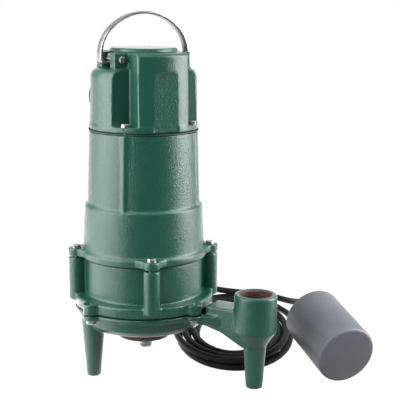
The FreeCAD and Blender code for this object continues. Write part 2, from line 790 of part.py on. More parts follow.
def facet():
    """What the flat face on the cap's front arm takes away: a pane as steep as the cone, round at the top."""
    lean = "atan((cap_foot_radius - cap_top_radius) / (cap_top - 3 - cap_bottom))"
    slab = place(group("facet_slab_place", [
        block("facet_slab", "2 * facet_half_width", "20", "160", "-facet_half_width", "-20", "-20"),
    ]), 0, "facet_depth - cap_foot_radius", "cap_bottom", lean, Vector(-1, 0, 0))
    outline = [
        block("facet_low", "2 * facet_half_width", "100", "facet_top - facet_corner",
              "-facet_half_width", "-100", "0"),
        block("facet_high", "2 * (facet_half_width - facet_corner)", "100", "facet_top",
              "facet_corner - facet_half_width", "-100", "0"),
    ]
    for side in (-1, 1):
        outline.append(cylinder(f"facet_round_{side}", "facet_corner", "100",
                                f"{side} * (facet_half_width - facet_corner)", "0",
                                "facet_top - facet_corner", 90, Vector(1, 0, 0)))
    return common("facet_pane", [slab, fuse("facet_outline", outline)])


def motor_cap():
    """The cast cap: a cross with low side arms, lugs for the handle, and a hollow for the wiring."""
    front = common("cap_front_arms", [
        turned("cap_cone", [
            ("0", "cap_bottom"),
            ("cap_foot_radius", "cap_bottom"),
            ("cap_top_radius", "cap_top - 3"),
            ("cap_top_radius - 3", "cap_top"),
            ("0", "cap_top"),
        ]),
        block("cap_front_bar", "2 * cap_arm_half_width", "160", "cap_top",
              "-cap_arm_half_width", "-80", "0"),
    ])
    side = common("cap_side_arms", [
        turned("cap_side_cone", [
            ("0", "cap_bottom"),
            ("cap_foot_radius", "cap_bottom"),
            ("cap_top_radius + 0.7", "cap_side_top - side_shoulder"),
            ("cap_top_radius + 0.5 - side_shoulder * 0.1", "cap_side_top - side_shoulder * 0.6"),
            ("cap_top_radius + 0.5 - side_shoulder * 0.4", "cap_side_top - side_shoulder * 0.2"),
            ("cap_top_radius - side_shoulder * 0.85", "cap_side_top"),
            ("0", "cap_side_top"),
        ]),
        block("cap_side_bar", "160", "2 * cap_arm_half_width", "cap_side_top + 1",
              "-80", "-cap_arm_half_width", "0"),
    ])
    skirt = turned("cap_skirt_ring", [
        ("0", "cap_bottom"),
        ("housing_top_radius", "cap_bottom"),
        ("housing_top_radius - 0.3", "cap_skirt_top"),
        ("0", "cap_skirt_top"),
    ])
    plateau = turned("cap_plateau", [
        ("0", "cap_top - 3"),
        ("plateau_radius", "cap_top - 3"),
        ("plateau_radius", "plateau_top - 1.5"),
        ("plateau_radius - 1.5", "plateau_top"),
        ("0", "plateau_top"),
    ])
    solids = [front, side, skirt, plateau]
    for side in (-1, 1):
        for end in (-1, 1):
            x = "cap_arm_half_width - 6" if side > 0 else "-lug_reach"
            y = "lug_slot / 2" if end > 0 else "-lug_slot / 2 - lug_width"
            solids.append(block(f"lug_{side}_{end}", "lug_reach - cap_arm_half_width + 6", "lug_width",
                                "cap_top - cap_side_top + 1", x, y, "cap_side_top - 1"))
    hollow = common("cap_hollow", [
        cylinder("cap_hollow_round", "web_recess_radius", "cap_top", 0, 0, 0),
        cross("cap_hollow_cross", "cap_arm_half_width - cap_wall", "cap_side_top - cap_ceiling",
              "cap_top - cap_ceiling", "cap_bottom - 1", "60"),
    ])
    hollows = [hollow, facet()]
    for number in range(4):
        x, y = around("cap_screw_circle", 45, number, 4)
        hollows.append(cylinder(f"cap_hole_{number}", "cap_screw_radius + 0.2", "30", x, y, "cap_bottom - 5"))
    for side in (-1, 1):
        hollows.append(cylinder(f"lug_hole_{side}", "handle_bolt_radius + 0.3", "80",
                                f"{side} * handle_bolt_distance", "40", "handle_bolt_height", 90, Vector(1, 0, 0)))
        hollows.append(block(f"strap_room_{side}", "lug_reach", "lug_slot", "cap_top - cap_side_top - 1",
                             "cap_arm_half_width" if side > 0 else "-cap_arm_half_width - lug_reach",
                             "-lug_slot / 2", "cap_side_top"))
        hollows.append(cylinder(f"gland_hole_{side}", "gland_tip_radius + 0.3", "40",
                                f"{side} * gland_offset", "gland_seat + 5", "gland_height", 90, Vector(1, 0, 0)))
    hollows.append(block("gland_flat", "60", "20", "30", "-30", "gland_seat - 3.5", "gland_height - 15"))
    sub_part(cut("cap_casting", fuse("cap_solids", solids), hollows), "motor_cap", "cap_turn")


def cap_screws():
    """Four hexagon screws in the corners of the cap."""
    screws = []
    for number in range(4):
        x, y = around("cap_screw_circle", 45, number, 4)
        head = hexagon(f"cap_head_{number}", "cap_screw_head", "4", x, y, "cap_skirt_top")
        shank = cylinder(f"cap_shank_{number}", "cap_screw_radius", "cap_skirt + cap_screw_reach",
                         x, y, "cap_skirt_top - cap_skirt - cap_screw_reach + 2")
        screws.append(fuse(f"cap_screw_{number}", [head, shank]))
    sub_part(group("cap_screw_set", screws), "cap_screws", "cap_turn")


# Lifting handle with its bolts and nuts


def arc_points(centre_x, centre_z, radius, first, last):
    """Three points of an arc in the handle's plane: its start, middle and end."""
    points = []
    for bearing in (first, (first + last) / 2, last):
        angle = math.radians(bearing)
        points.append(Vector(centre_x + radius * math.cos(angle), 0, centre_z + radius * math.sin(angle)))
    return points


def lifting_handle():
    """A flat strap bent in a hoop, whose ends turn inwards and end in an eye round each bolt."""
    thickness, width = value("strap_thickness"), value("strap_width")
    side = value("hoop_side_radius") - thickness
    half_span = value("hoop_half_span") - thickness
    spring, turn = value("hoop_spring"), value("hoop_side_turn")
    side_x = half_span - side
    top_z = spring - side_x * math.tan(math.radians(turn))
    top = side + side_x / math.cos(math.radians(turn))
    eye = value("handle_bolt_radius + strap_eye_clearance")
    eye_x, eye_z = value("handle_bolt_distance"), value("handle_bolt_height")
    foot = value("hoop_foot_radius") - thickness
    foot_z = eye_z - eye + foot
    edges = []
    for sign in (1, -1):
        mirrored = (lambda bearing: bearing) if sign > 0 else (lambda bearing: 180 - bearing)
        low = Vector(sign * eye_x, 0, eye_z - eye)
        foot_arc = arc_points(sign * (half_span - foot), foot_z, foot, mirrored(-90), mirrored(0))
        side_arc = arc_points(sign * side_x, spring, side, mirrored(0), mirrored(turn))
        edges.append(Part.Arc(*arc_points(sign * eye_x, eye_z, eye, mirrored(-90), mirrored(-310))).toShape())
        edges.append(Part.LineSegment(low, foot_arc[0]).toShape())
        edges.append(Part.Arc(*foot_arc).toShape())
        edges.append(Part.LineSegment(foot_arc[2], side_arc[0]).toShape())
        edges.append(Part.Arc(*side_arc).toShape())
    edges.append(Part.Arc(*arc_points(0, top_z, top, turn, 180 - turn)).toShape())
    inside = Part.Wire(Part.__sortEdges__(edges))
    face = inside.makeOffset2D(thickness, 0, True, True)
    solid = face.extrude(Vector(0, width, 0)).Solids[0]
    solid.translate(Vector(0, -width / 2, 0))
    item = doc.addObject("Part::Feature", "handle_strap")
    item.Shape = solid
    sub_part(item, "lifting_handle", "cap_turn")


def handle_bolts():
    """A bolt and a nut through each pair of lugs."""
    bolts, nuts = [], []
    length = "lug_slot + 2 * lug_width + 7"
    for side in (-1, 1):
        x = f"{side} * handle_bolt_distance"
        head = hexagon(f"handle_head_{side}", "handle_bolt_head", "3.5", x, "-lug_slot / 2 - lug_width",
                       "handle_bolt_height", 90, Vector(1, 0, 0))
        shank = cylinder(f"handle_shank_{side}", "handle_bolt_radius", length, x,
                         "lug_slot / 2 + lug_width + 7", "handle_bolt_height", 90, Vector(1, 0, 0))
        bolts.append(fuse(f"handle_bolt_{side}", [head, shank]))
        nut = hexagon(f"handle_nut_body_{side}", "handle_nut_radius", "5", x, "lug_slot / 2 + lug_width + 5",
                      "handle_bolt_height", 90, Vector(1, 0, 0))
        bore = cylinder(f"handle_nut_bore_{side}", "handle_bolt_radius + thread_gap", "9", x,
                        "lug_slot / 2 + lug_width + 7", "handle_bolt_height", 90, Vector(1, 0, 0))
        nuts.append(cut(f"handle_nut_{side}", nut, [bore]))
    sub_part(group("handle_bolt_set", bolts), "handle_bolts", "cap_turn")
    sub_part(group("handle_nut_set", nuts), "handle_nuts", "cap_turn")


# Motor: stator, windings, rotor and shaft


def stator():
    """The slotted core, pressed into the housing, and its windings with their end turns."""
    core = ring("stator_ring", "motor_bore", "stator_bore", "stator_top - stator_bottom", "stator_bottom")
    outline = sketch(core, "slot_outline", "XY_Plane", [
        ("stator_bore - 2", "-slot_width / 2"),
        ("stator_bore + slot_depth", "-slot_width / 2"),
        ("stator_bore + slot_depth", "slot_width / 2"),
        ("stator_bore - 2", "slot_width / 2"),
    ])
    slot = core.newObject("PartDesign::Pocket", "slot")
    slot.Profile = outline
    slot.Type = "ThroughAll"
    slot.Midplane = True
    doc.recompute()
    slots = core.newObject("PartDesign::PolarPattern", "slots")
    slots.Originals = [slot]
    slots.Axis = (outline, ["N_Axis"])
    slots.Angle = 360
    bind(slots, Occurrences="slot_count")
    core.Tip = slots
    sub_part(core, "stator_core")
    ends = [
        ring("winding_top", "winding_outer", "winding_inner", "winding_depth", "stator_top"),
        ring("winding_bottom", "winding_outer", "winding_inner", "winding_depth", "stator_bottom - winding_depth"),
    ]
    for number in range(int(value("slot_count"))):
        bar = block(f"bar_{number}", "slot_depth - 3", "slot_width - 0.6", "stator_top - stator_bottom + 4",
                    "stator_bore + 2.7", "0.3 - slot_width / 2", "stator_bottom - 2")
        turned_bar = group(f"bar_place_{number}", [bar])
        ends.append(place(turned_bar, 0, 0, 0, f"{number} * 360 / slot_count"))
    sub_part(fuse("winding_solids", ends), "stator_windings")
    sensor = block("protector_box", "10", "18", "7", "winding_inner + 5", "-9", "stator_top + winding_depth")
    sub_part(sensor, "thermal_protector", "cap_turn")


def rotor():
    """The rotor core, its two cast end rings and the stepped shaft."""
    core = ring("rotor_ring", "stator_bore - air_gap", "shaft_radius + fit_gap", "stator_top - stator_bottom",
                "stator_bottom")
    sub_part(core, "rotor_core")
    ends = [
        ring("rotor_end_top", "stator_bore - 2", "stator_bore - 15", "rotor_ring_depth", "stator_top"),
        ring("rotor_end_bottom", "stator_bore - 2", "stator_bore - 15", "rotor_ring_depth",
             "stator_bottom - rotor_ring_depth"),
    ]
    sub_part(group("rotor_end_pair", ends), "rotor_end_rings")
    shaft = turned("shaft_turned", [
        ("0", "shaft_bottom"),
        ("impeller_seat_radius", "shaft_bottom"),
        ("impeller_seat_radius", "impeller_top"),
        ("seal_seat_radius", "impeller_top"),
        ("seal_seat_radius", "lower_bearing_bottom"),
        ("lower_journal_radius", "lower_bearing_bottom"),
        ("lower_journal_radius", "seal_housing_top + 0.3"),
        ("shaft_radius", "seal_housing_top + 0.3"),
        ("shaft_radius", "web_bottom - 0.3"),
        ("upper_journal_radius", "web_bottom - 0.3"),
        ("upper_journal_radius", "upper_bearing_top - 0.5"),
        ("0", "upper_bearing_top - 0.5"),
    ])
    thread = cylinder("shaft_thread", "impeller_screw_radius + thread_gap", "15", 0, 0, "shaft_bottom - 1")
    sub_part(cut("shaft_machined", shaft, [thread]), "motor_shaft")


def race(name, face, side, pitch, ball, width, bottom):
    """One race of a ball bearing, with a groove of seven corners for the balls."""
    lip = f"{pitch} + {side} * {ball} * race_lip"
    groove = f"({ball} + ball_gap)"
    points = [(face, bottom), (lip, bottom)]
    for step in range(-3, 4):
        lean = f"({step} / 3 * acos({ball} * race_lip / {groove}))"
        points.append((f"{pitch} + {side} * {groove} * cos{lean}",
                       f"({bottom}) + ({width}) / 2 + {groove} * sin{lean}"))
    points += [(lip, f"({bottom}) + ({width})"), (face, f"({bottom}) + ({width})")]
    return turned(name, points)


def bearing(name, bore, outer, ball, width, bottom):
    """A deep groove ball bearing: its outer ring, its inner ring, and the balls in their cage."""
    pitch = f"(({bore}) + ({outer})) / 2"
    middle = f"({bottom}) + ({width}) / 2"
    sub_part(race(f"{name}_outer", outer, 1, pitch, ball, width, bottom), f"{name}_bearing_outer_ring")
    sub_part(race(f"{name}_inner", f"{bore} + 0.02", -1, pitch, ball, width, bottom),
             f"{name}_bearing_inner_ring")
    cage = ring(f"{name}_cage_ring", f"{pitch} + 1.1", f"{pitch} - 1.1", f"{ball} * 1.3",
                f"{middle} - {ball} * 0.65")
    balls, pockets = [], []
    for number in range(int(value("ball_count"))):
        x, y = around(pitch, 0, number, "ball_count")
        balls.append(sphere(f"{name}_ball_{number}", ball, x, y, middle))
        pockets.append(sphere(f"{name}_pocket_{number}", f"{ball} + 0.15", x, y, middle))
    sub_part(group(f"{name}_cage_set", [cut(f"{name}_cage", cage, pockets)] + balls),
             f"{name}_bearing_balls")


def seals():
    """Two face seals on the shaft, back to back, with one spring between their turning rings."""
    seat = ring("lower_seat_ring", "impeller_hub_radius + 1 - fit_gap", "seal_seat_radius + 1", "7",
                "seal_housing_bottom + seal_plate - 7")
    sub_part(seat, "lower_seal_seat")
    seat = ring("upper_seat_ring", "seal_seat_radius + 10", "seal_seat_radius + 1", "6",
                "seal_housing_top - bearing_hub_depth - 6")
    sub_part(seat, "upper_seal_seat")
    low = "seal_housing_bottom + seal_plate + seal_face_gap"
    high = "seal_housing_top - bearing_hub_depth - 6 - seal_face_gap"
    sub_part(ring("lower_turning_ring", "seal_seat_radius + 5", "seal_seat_radius + 0.02", "seal_ring_height", low),
             "lower_seal_ring")
    sub_part(ring("upper_turning_ring", "seal_seat_radius + 5", "seal_seat_radius + 0.02", "seal_ring_height",
                  f"{high} - seal_ring_height"), "upper_seal_ring")
    start = value(f"{low} + seal_ring_height")
    end = value(f"{high} - seal_ring_height")
    wire = value("seal_spring_wire")
    radius = value("seal_seat_radius") + wire + 1
    pitch = (end - start - 2 * wire - 0.4) / value("seal_spring_turns")
    helix = Part.makeHelix(pitch, end - start - 2 * wire - 0.4, radius)
    helix.translate(Vector(0, 0, start + wire + 0.2))
    section = Part.Wire(Part.makeCircle(wire, Vector(radius, 0, start + wire + 0.2), Vector(0, 1, 0)))
    item = doc.addObject("Part::Feature", "seal_spring_coil")
    item.Shape = Part.Wire(helix.Edges).makePipeShell([section], True, True)
    sub_part(item, "seal_spring")


def impeller():
    """The vortex impeller: a hub, a disc and swept vanes below it, held by a capped screw."""
    hub = ring("impeller_hub", "impeller_hub_radius", "impeller_seat_radius + 0.02", "impeller_top - shaft_bottom",
               "shaft_bottom")
    disc = ring("impeller_plate", "impeller_radius", "impeller_hub_radius - 1", "impeller_disc",
                "impeller_top - impeller_disc")
    solids = [hub, disc]
    for number in range(int(value("vane_count"))):
        vane = block(f"vane_{number}", "impeller_radius - impeller_hub_radius - 6", "vane_width",
                     "vane_height + 1", "impeller_hub_radius - 1", "-vane_width",
                     "impeller_top - impeller_disc - vane_height", "vane_sweep")
        placed = group(f"vane_place_{number}", [vane])
        solids.append(place(placed, 0, 0, 0, f"{number} * 360 / vane_count"))
    sub_part(fuse("impeller_solids", solids), "impeller")
    head = hexagon("impeller_screw_head", "impeller_hub_radius - 7", "4", 0, 0, "shaft_bottom - 5.5")
    washer = cylinder("impeller_washer", "impeller_hub_radius - 3", "1.5", 0, 0, "shaft_bottom - 1.5")
    shank = cylinder("impeller_screw_shank", "impeller_screw_radius", "13", 0, 0, "shaft_bottom - 1.5")
    sub_part(fuse("impeller_screw_solids", [head, washer, shank]), "impeller_screw")


def wiring():
    """What the cap covers: the run capacitor and the terminal block, both on the housing's web."""
    can = cylinder("capacitor_can", "capacitor_radius", "capacitor_height", 0, "-capacitor_distance", "web_top")
    posts = []
    for side in (-1, 1):
        posts.append(block(f"capacitor_post_{side}", "1", "6", "9", f"{side} * 6 - 0.5", "-capacitor_distance - 3",
                           "web_top + capacitor_height - 1"))
    sub_part(fuse("capacitor_solids", [can] + posts), "run_capacitor", "cap_turn")
    base = block("terminal_base", "36", "16", "10", "-18", "capacitor_distance - 14", "web_top")
    screws = []
    for number in range(4):
        screws.append(cylinder(f"terminal_screw_{number}", "2.5", "3", f"{number} * 9 - 13.5",
                               "capacitor_distance - 6", "web_top + 9"))
    sub_part(fuse("terminal_solids", [base] + screws), "terminal_block", "cap_turn")


def oil_plug():
    """The threaded plug that closes the oil chamber at the back."""
    x, y = around("seal_housing_wall_radius - 8", "oil_plug_turn", 0, 1)
    shank = cylinder("oil_plug_shank", "oil_plug_radius", "10", x, y, "oil_plug_height", 90,
                     sideways("oil_plug_turn"))
    x, y = around("seal_housing_wall_radius + 0.3", "oil_plug_turn", 0, 1)
    head = hexagon("oil_plug_head", "oil_plug_radius + 2", "5", x, y, "oil_plug_height", 90,
                   sideways("oil_plug_turn"))
    sub_part(fuse("oil_plug_solids", [shank, head]), "oil_fill_plug")


# Glands, cords, plug and float


def gland(name, side):
    """A cord gland on the cap's rear arm: a spigot, a flange, a hexagon and a tapered nose."""
    x, about = f"{side} * gland_offset", Vector(-1, 0, 0)
    solids = [
        cylinder(name + "_spigot", "gland_tip_radius", "12", x, "gland_seat - 11.5", "gland_height", 90, about),
        cylinder(name + "_flange", "gland_flange_radius", "gland_flange", x, "gland_seat - 3.5",
                 "gland_height", 90, about),
        hexagon(name + "_hexagon", "gland_flange_radius - 1.5", "7", x, "gland_seat - 3.5 + gland_flange",
                "gland_height", 90, about),
        cone(name + "_nose", "gland_flange_radius - 3", "gland_tip_radius",
             "gland_tip - gland_seat - gland_flange - 3.5", x, "gland_seat + gland_flange + 3.5",
             "gland_height", 90, about),
    ]
    sub_part(fuse(name + "_solids", solids), name, "cap_turn")


def rounded_path(points):
    """Straight runs joined by tangent arcs, each 0.45 of its shorter run, with the radii."""
    edges, radii = [], []
    here = points[0]
    for before, corner, after in zip(points, points[1:], points[2:]):
        toward = (corner - before).normalize()
        away = (after - corner).normalize()
        back = 0.45 * min((corner - before).Length, (after - corner).Length)
        turn = toward.getAngle(away)
        first, last = corner - toward * back, corner + away * back
        inward = (away - toward).normalize()
        radius = back / math.tan(turn / 2)
        middle = corner + inward * (radius / math.cos(turn / 2) - radius)
        edges.append(Part.LineSegment(here, first).toShape())
        edges.append(Part.Arc(first, middle, last).toShape())
        radii.append(radius)
        here = last
    edges.append(Part.LineSegment(here, points[-1]).toShape())
    return Part.Wire(edges), radii


def tube(name, path, start, heading):
    """A round cord along a path."""
    section = Part.Wire(Part.makeCircle(value("cord_radius"), start, heading))
    item = doc.addObject("Part::Feature", name + "_tube")
    item.Shape = path.makePipeShell([section], True, False)
    ratio = item.Shape.Volume / (math.pi * value("cord_radius") ** 2 * path.Length)
    print(f"{name}: {path.Length:.0f} mm long, volume {ratio:.4f} of its section times its length")
    sub_part(item, name, None, 0)


def free_cord(name, points):
    """A free stretch of cord through hand-chosen points."""
    path, radii = rounded_path(points)
    print(f"{name}: radii " + " ".join(f"{radius:.0f}" for radius in radii))
    tube(name, path, points[0], points[1] - points[0])


def gland_points(side):
    """The gland's tip, and the end of the cord's first straight run out of it."""
    turn = FreeCAD.Rotation(Vector(0, 0, 1), value("cap_turn"))
    shift = Vector(value("pump_x"), 0, value("gland_height"))
    tip = turn.multVec(Vector(side * value("gland_offset"), value("gland_tip"), 0)) + shift
    return tip, tip + turn.multVec(Vector(0, value("gland_straight"), 0))


def float_point(along):
    """A point on the float's axis, measured from its cord end towards its other end."""
    heading, dip = math.radians(value("float_heading")), math.radians(value("float_dip"))
    end = Vector(value("float_x"), value("float_y"), value("float_end_height"))
    flat = math.cos(dip)
    return end + Vector(flat * math.cos(heading), flat * math.sin(heading), -math.sin(dip)) * along


def plug_point(along):
    """A point on the plug's axis, measured back from its front face."""
    turn = math.radians(value("plug_turn"))
    front = Vector(value("plug_x"), value("plug_y"), value("plug_height / 2"))
    return front - Vector(math.cos(turn), math.sin(turn), 0) * along


LEAD_ROUTE = [(-190, 99, 322), (-188, 121, 268), (-174, 131, 190), (-161, 144, 110), (-160, 164, 50),
              (-153, 193, 12), (-136, 229, 4.5), (-116, 257, 4.5)]
TAIL_ROUTE = [(-15, 315, 9), (7.5, 303, 6), (30.5, 287, 5), (47, 267.4, 5), (63, 248, 6), (80.5, 230, 10)]
FLOAT_ROUTE = [(-169, 123.5, 318), (-169.5, 154, 258), (-156, 178, 182), (-141, 204, 106), (-133, 236, 62),
               (-116, 262, 36), (-92, 278, 27), (-63, 286, 24.6), (-36, 293, 24.6), (-9, 292, 26), (15, 283, 27.5),
               (39, 266, 31), (63, 240, 39), (88, 203, 52), (102.2, 171.5, 63)]


def biarc(first, first_way, last, last_way):
    """Two tangent arcs from one point and heading to another."""
    chord = last - first
    total = first_way + last_way
    bend = 2 * (1 - first_way.dot(last_way))
    reach = (math.sqrt(chord.dot(total) ** 2 + bend * chord.dot(chord)) - chord.dot(total)) / bend
    joint = (first + last + (first_way - last_way) * reach) * 0.5
    edges = []
    for start, corner, end in ((first, first + first_way * reach, joint), (joint, last - last_way * reach, last)):
        half = (end - start) * 0.5
        middle = start + half
        rise = corner - middle
        lift = half.Length * math.tan(math.atan(rise.Length / half.Length) / 2)
        edges.append(Part.Arc(start, middle + rise.normalize() * lift, end).toShape())
    return edges


def coil_stations():
    """The coil's quarter-turn points: in along the lower layer, and out again along the upper one."""
    turn = math.radians(value("coil_turn"))
    wide, deep = Vector(math.cos(turn), math.sin(turn), 0), Vector(math.sin(turn), -math.cos(turn), 0)
    centre = Vector(value("coil_x"), value("coil_y"), 0)
    ways = [(-1, 0, 1, 0), (0, 1, 0, 1), (1, 0, -1, 0), (0, -1, 0, -1)]
    layer_quarters = int(value("coil_turns * 4"))
    stations = []
    for quarter in range(2 * layer_quarters + 1):
        inward = min(quarter, 2 * layer_quarters - quarter)
        step = value("coil_pitch") * inward / 4
        rise = min(max(quarter - layer_quarters + 1, 0), 2) / 2
        height = value("cord_radius") + rise * value("coil_climb")
        along, across, way_wide, way_deep = ways[quarter % 4]
        place_at = centre + wide * (across * (value("coil_half_width") - step))
        place_at += deep * (along * (value("coil_half_depth") - step)) + Vector(0, 0, height)
        stations.append((place_at, wide * way_wide + deep * way_deep))
    return stations


def coil():
    """The oval coil of power cord behind the pump, one unbroken tube in two layers."""
    stations = coil_stations()
    edges = []
    for (first, first_way), (last, last_way) in zip(stations, stations[1:]):
        edges += biarc(first, first_way, last, last_way)
    path = Part.Wire(edges)
    points = []
    for edge in path.OrderedEdges:
        points += edge.discretize(Distance=4)[:-1]
    near = int(value("coil_half_width * 2") / 4)
    gap = min((a - b).Length for i, a in enumerate(points) for b in points[i + near:])
    print(f"power_cord_coil: least gap between turns {gap - 2 * value('cord_radius'):.2f} mm")
    tube("power_cord_coil", path, stations[0][0], stations[0][1])
    return stations


def cords():
    """The power cord's lead, coil and tail, and the float's cord."""
    stations = coil()
    first, first_way = stations[0]
    last, last_way = stations[-1]
    route = [Vector(*point) for point in LEAD_ROUTE]
    free_cord("power_cord_lead", [*gland_points(-1), *route, first - first_way * value("coil_straight"), first])
    route = [Vector(*point) for point in TAIL_ROUTE]
    entry = value("plug_length + plug_sleeve")
    free_cord("power_cord_tail", [last, last + last_way * value("coil_straight"), *route,
                                  plug_point(entry + 12), plug_point(entry)])
    route = [Vector(*point) for point in FLOAT_ROUTE]
    boot = value("boot_length")
    free_cord("float_cord", [*gland_points(1), *route, float_point(-boot - 20), float_point(-boot)])


def plug():
    """The moulded plug under the float's cord end, with its sleeve, two blades and a round pin."""
    body = padded("plug_body_moulding", [
        ("0", "-plug_half_width"),
        ("0", "plug_half_width"),
        ("-plug_length * 0.65", "plug_half_width"),
        ("-plug_length", "plug_half_width - 7"),
        ("-plug_length", "7 - plug_half_width"),
        ("-plug_length * 0.65", "-plug_half_width"),
    ], "plug_height")
    sleeve = cone("plug_sleeve_cone", "cord_radius + 1", "cord_radius + 3.5", "plug_sleeve + 1",
                  "-plug_length - plug_sleeve", 0, "plug_height / 2", 90, Vector(0, 1, 0))
    item = fuse("plug_solids", [body, sleeve])
    item.Label = "plug_body"
    place(item, "plug_x", "plug_y", 0, "plug_turn")
    SUB_PARTS.append(("plug_body", item))
    blades = []
    for side in (-1, 1):
        blades.append(block(f"plug_blade_{side}", "blade_length", "blade_thickness", "blade_width", 0,
                            f"{side} * blade_spacing / 2 - blade_thickness / 2", "plug_height / 2 - 1"))
    blades.append(cylinder("plug_pin", "ground_pin_radius", "blade_length + 3", 0, 0, "plug_height / 2 - 6",
                           90, Vector(0, 1, 0)))
    item = group("plug_blade_set", blades)
    item.Label = "plug_blades"
    place(item, "plug_x", "plug_y", 0, "plug_turn")
    SUB_PARTS.append(("plug_blades", item))


def float_piece(item, name):
    """Leans a piece of the float, drawn from its cord end up +Z, and turns it to its heading."""
    leaned = group(name + "_leaned", [item])
    place(leaned, 0, 0, 0, "90 + float_dip", Vector(0, 1, 0))
    placed = group(name + "_placed", [leaned])
    placed.Label = name
    place(placed, "float_x", "float_y", "float_end_height", "float_heading")
    SUB_PARTS.append((name, placed))


def float_switch():
    """The float: its shell, end cap, cord boot, and the switch, tube and rolling ball inside."""
    shell = turned("float_shell_turned", [
        ("float_radius - float_wall", "0"),
        ("float_radius - 1.5", "0"),
        ("float_radius", "1.5"),
        ("float_radius", "float_length - float_edge"),
        ("float_radius - float_edge * 0.3", "float_length - float_edge * 0.3"),
        ("float_radius - float_edge", "float_length"),
        ("0", "float_length"),
        ("0", "float_length - float_wall"),
        ("float_radius - float_edge", "float_length - float_wall"),
        ("float_radius - float_wall", "float_length - float_edge - 1"),
    ])
    float_piece(shell, "float_shell")
    disc = turned("float_end_disc", [
        ("0", "0"),
        ("float_radius - float_wall - fit_gap", "0"),
        ("float_radius - float_wall - fit_gap", "5"),
        ("0", "5"),
    ])
    float_piece(disc, "float_end_cap")
    boot = turned("float_boot_turned", [
        ("0", "-boot_length"),
        ("cord_radius + 1", "-boot_length"),
        ("boot_radius", "-3"),
        ("boot_radius + 2", "-3"),
        ("boot_radius + 2", "0"),
        ("0", "0"),
    ])
    float_piece(boot, "float_cord_boot")
    bore = "switch_ball_radius + switch_ball_gap"
    sleeve = ring("switch_sleeve", "switch_tube_radius", bore, "switch_tube_length", "switch_tube_start")
    float_piece(sleeve, "float_switch_tube")
    capsule = cylinder("switch_capsule", f"{bore} - fit_gap", "switch_capsule_length", 0, 0, "switch_tube_start")
    float_piece(capsule, "float_switch")
    ball = sphere("switch_ball", "switch_ball_radius", 0, 0, "float_length - float_wall - switch_ball_radius - 0.3")
    float_piece(ball, "float_switch_ball")


# Build, check and write


def check_document():
    """Stops if any object failed, or if a sub-part's shape is null or not valid."""
    for item in doc.Objects:
        if "Invalid" in item.State or "Error" in item.State:
            raise RuntimeError(f"{item.Name} failed: {item.State}")
    for name, item in SUB_PARTS:
        if item.Shape.isNull() or not item.Shape.isValid():
            raise RuntimeError(f"{name} has no valid shape")


def main():
    """Builds every sub-part and writes one STEP file for each."""
    fill_sheet()
    steps = (volute, suction_ring, seal_housing, flange_bolts, gaskets, motor_housing, motor_cap, cap_screws,
             lifting_handle, handle_bolts, stator, rotor, seals, impeller, wiring, oil_plug, plug,
             float_switch, cords)
    for step in steps:
        step()
    bearing("lower", "lower_journal_radius", "lower_race_outer", "lower_ball", "lower_race_width",
            "lower_bearing_bottom")
    bearing("upper", "upper_journal_radius", "upper_race_outer", "upper_ball", "upper_race_width", "web_bottom")
    gland("power_cord_gland", -1)
    gland("float_cord_gland", 1)
    doc.recompute()
    check_document()
    os.makedirs("parts", exist_ok=True)
    for name, item in SUB_PARTS:
        item.Shape.exportStep(f"parts/{name}.step")
        box = item.Shape.BoundBox
        print(f"{name}: {len(item.Shape.Solids)} solids, {item.Shape.Volume:.0f} mm3,"
              f" z {box.ZMin:.1f} to {box.ZMax:.1f}")


main()
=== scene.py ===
"""Submersible sump pump: casings, handle, float and cords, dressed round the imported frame."""

from __future__ import annotations

import json
import logging
import math
from dataclasses import dataclass
from enum import Enum
from typing import Callable, Iterable, Sequence

import bmesh
import bpy
from mathutils import Matrix, Vector

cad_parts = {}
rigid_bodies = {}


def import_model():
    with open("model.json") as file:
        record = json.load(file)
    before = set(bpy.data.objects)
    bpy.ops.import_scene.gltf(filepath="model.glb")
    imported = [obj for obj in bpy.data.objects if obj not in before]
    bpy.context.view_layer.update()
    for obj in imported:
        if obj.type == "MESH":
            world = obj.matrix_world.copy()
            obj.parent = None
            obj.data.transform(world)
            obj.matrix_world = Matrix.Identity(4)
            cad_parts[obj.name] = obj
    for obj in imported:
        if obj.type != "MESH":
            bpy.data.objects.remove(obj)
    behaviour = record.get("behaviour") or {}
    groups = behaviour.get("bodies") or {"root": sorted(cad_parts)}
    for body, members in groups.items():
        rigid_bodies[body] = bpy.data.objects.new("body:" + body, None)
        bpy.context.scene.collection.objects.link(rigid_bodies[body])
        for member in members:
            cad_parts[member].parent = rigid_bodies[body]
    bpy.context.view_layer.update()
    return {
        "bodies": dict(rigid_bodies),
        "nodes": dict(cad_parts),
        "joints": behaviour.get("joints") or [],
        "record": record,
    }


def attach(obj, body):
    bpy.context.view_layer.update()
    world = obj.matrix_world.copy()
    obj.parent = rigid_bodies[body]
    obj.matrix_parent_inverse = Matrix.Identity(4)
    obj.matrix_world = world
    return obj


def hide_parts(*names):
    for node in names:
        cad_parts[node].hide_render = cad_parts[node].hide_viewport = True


LOG = logging.getLogger("pump")
Point = tuple[float, float, float]
Colour = tuple[float, float, float]
Pair = tuple[float, float]

PUMP_X = -0.044576
CAP_TURN = math.radians(56.7)
EARS_TURN = math.radians(38.0)
LUGS_TURN = math.radians(75.2)
GLAND_OFFSET = 0.013
GLAND_HEIGHT = 0.35
WASHER = 0.0008
CROWN_SHARE = 0.2
CROWN_TAPER = 0.84
TWIST = 0.9
WAIST = 0.45


class Body(Enum):
    """The bodies that pieces ride on."""

    PUMP = "pump"
    SHAFT = "shaft"


class Slot(Enum):
    """The record's slots, passed along with each new piece."""

    GREEN = "cast_green"
    PRIMER = "primer_red"
    STRAP = "stainless"
    ZINC = "zinc_steel"
    CORD = "black_rubber"
    PLASTIC = "black_plastic"
    FLOAT = "float_grey"
    IRON = "impeller_iron"


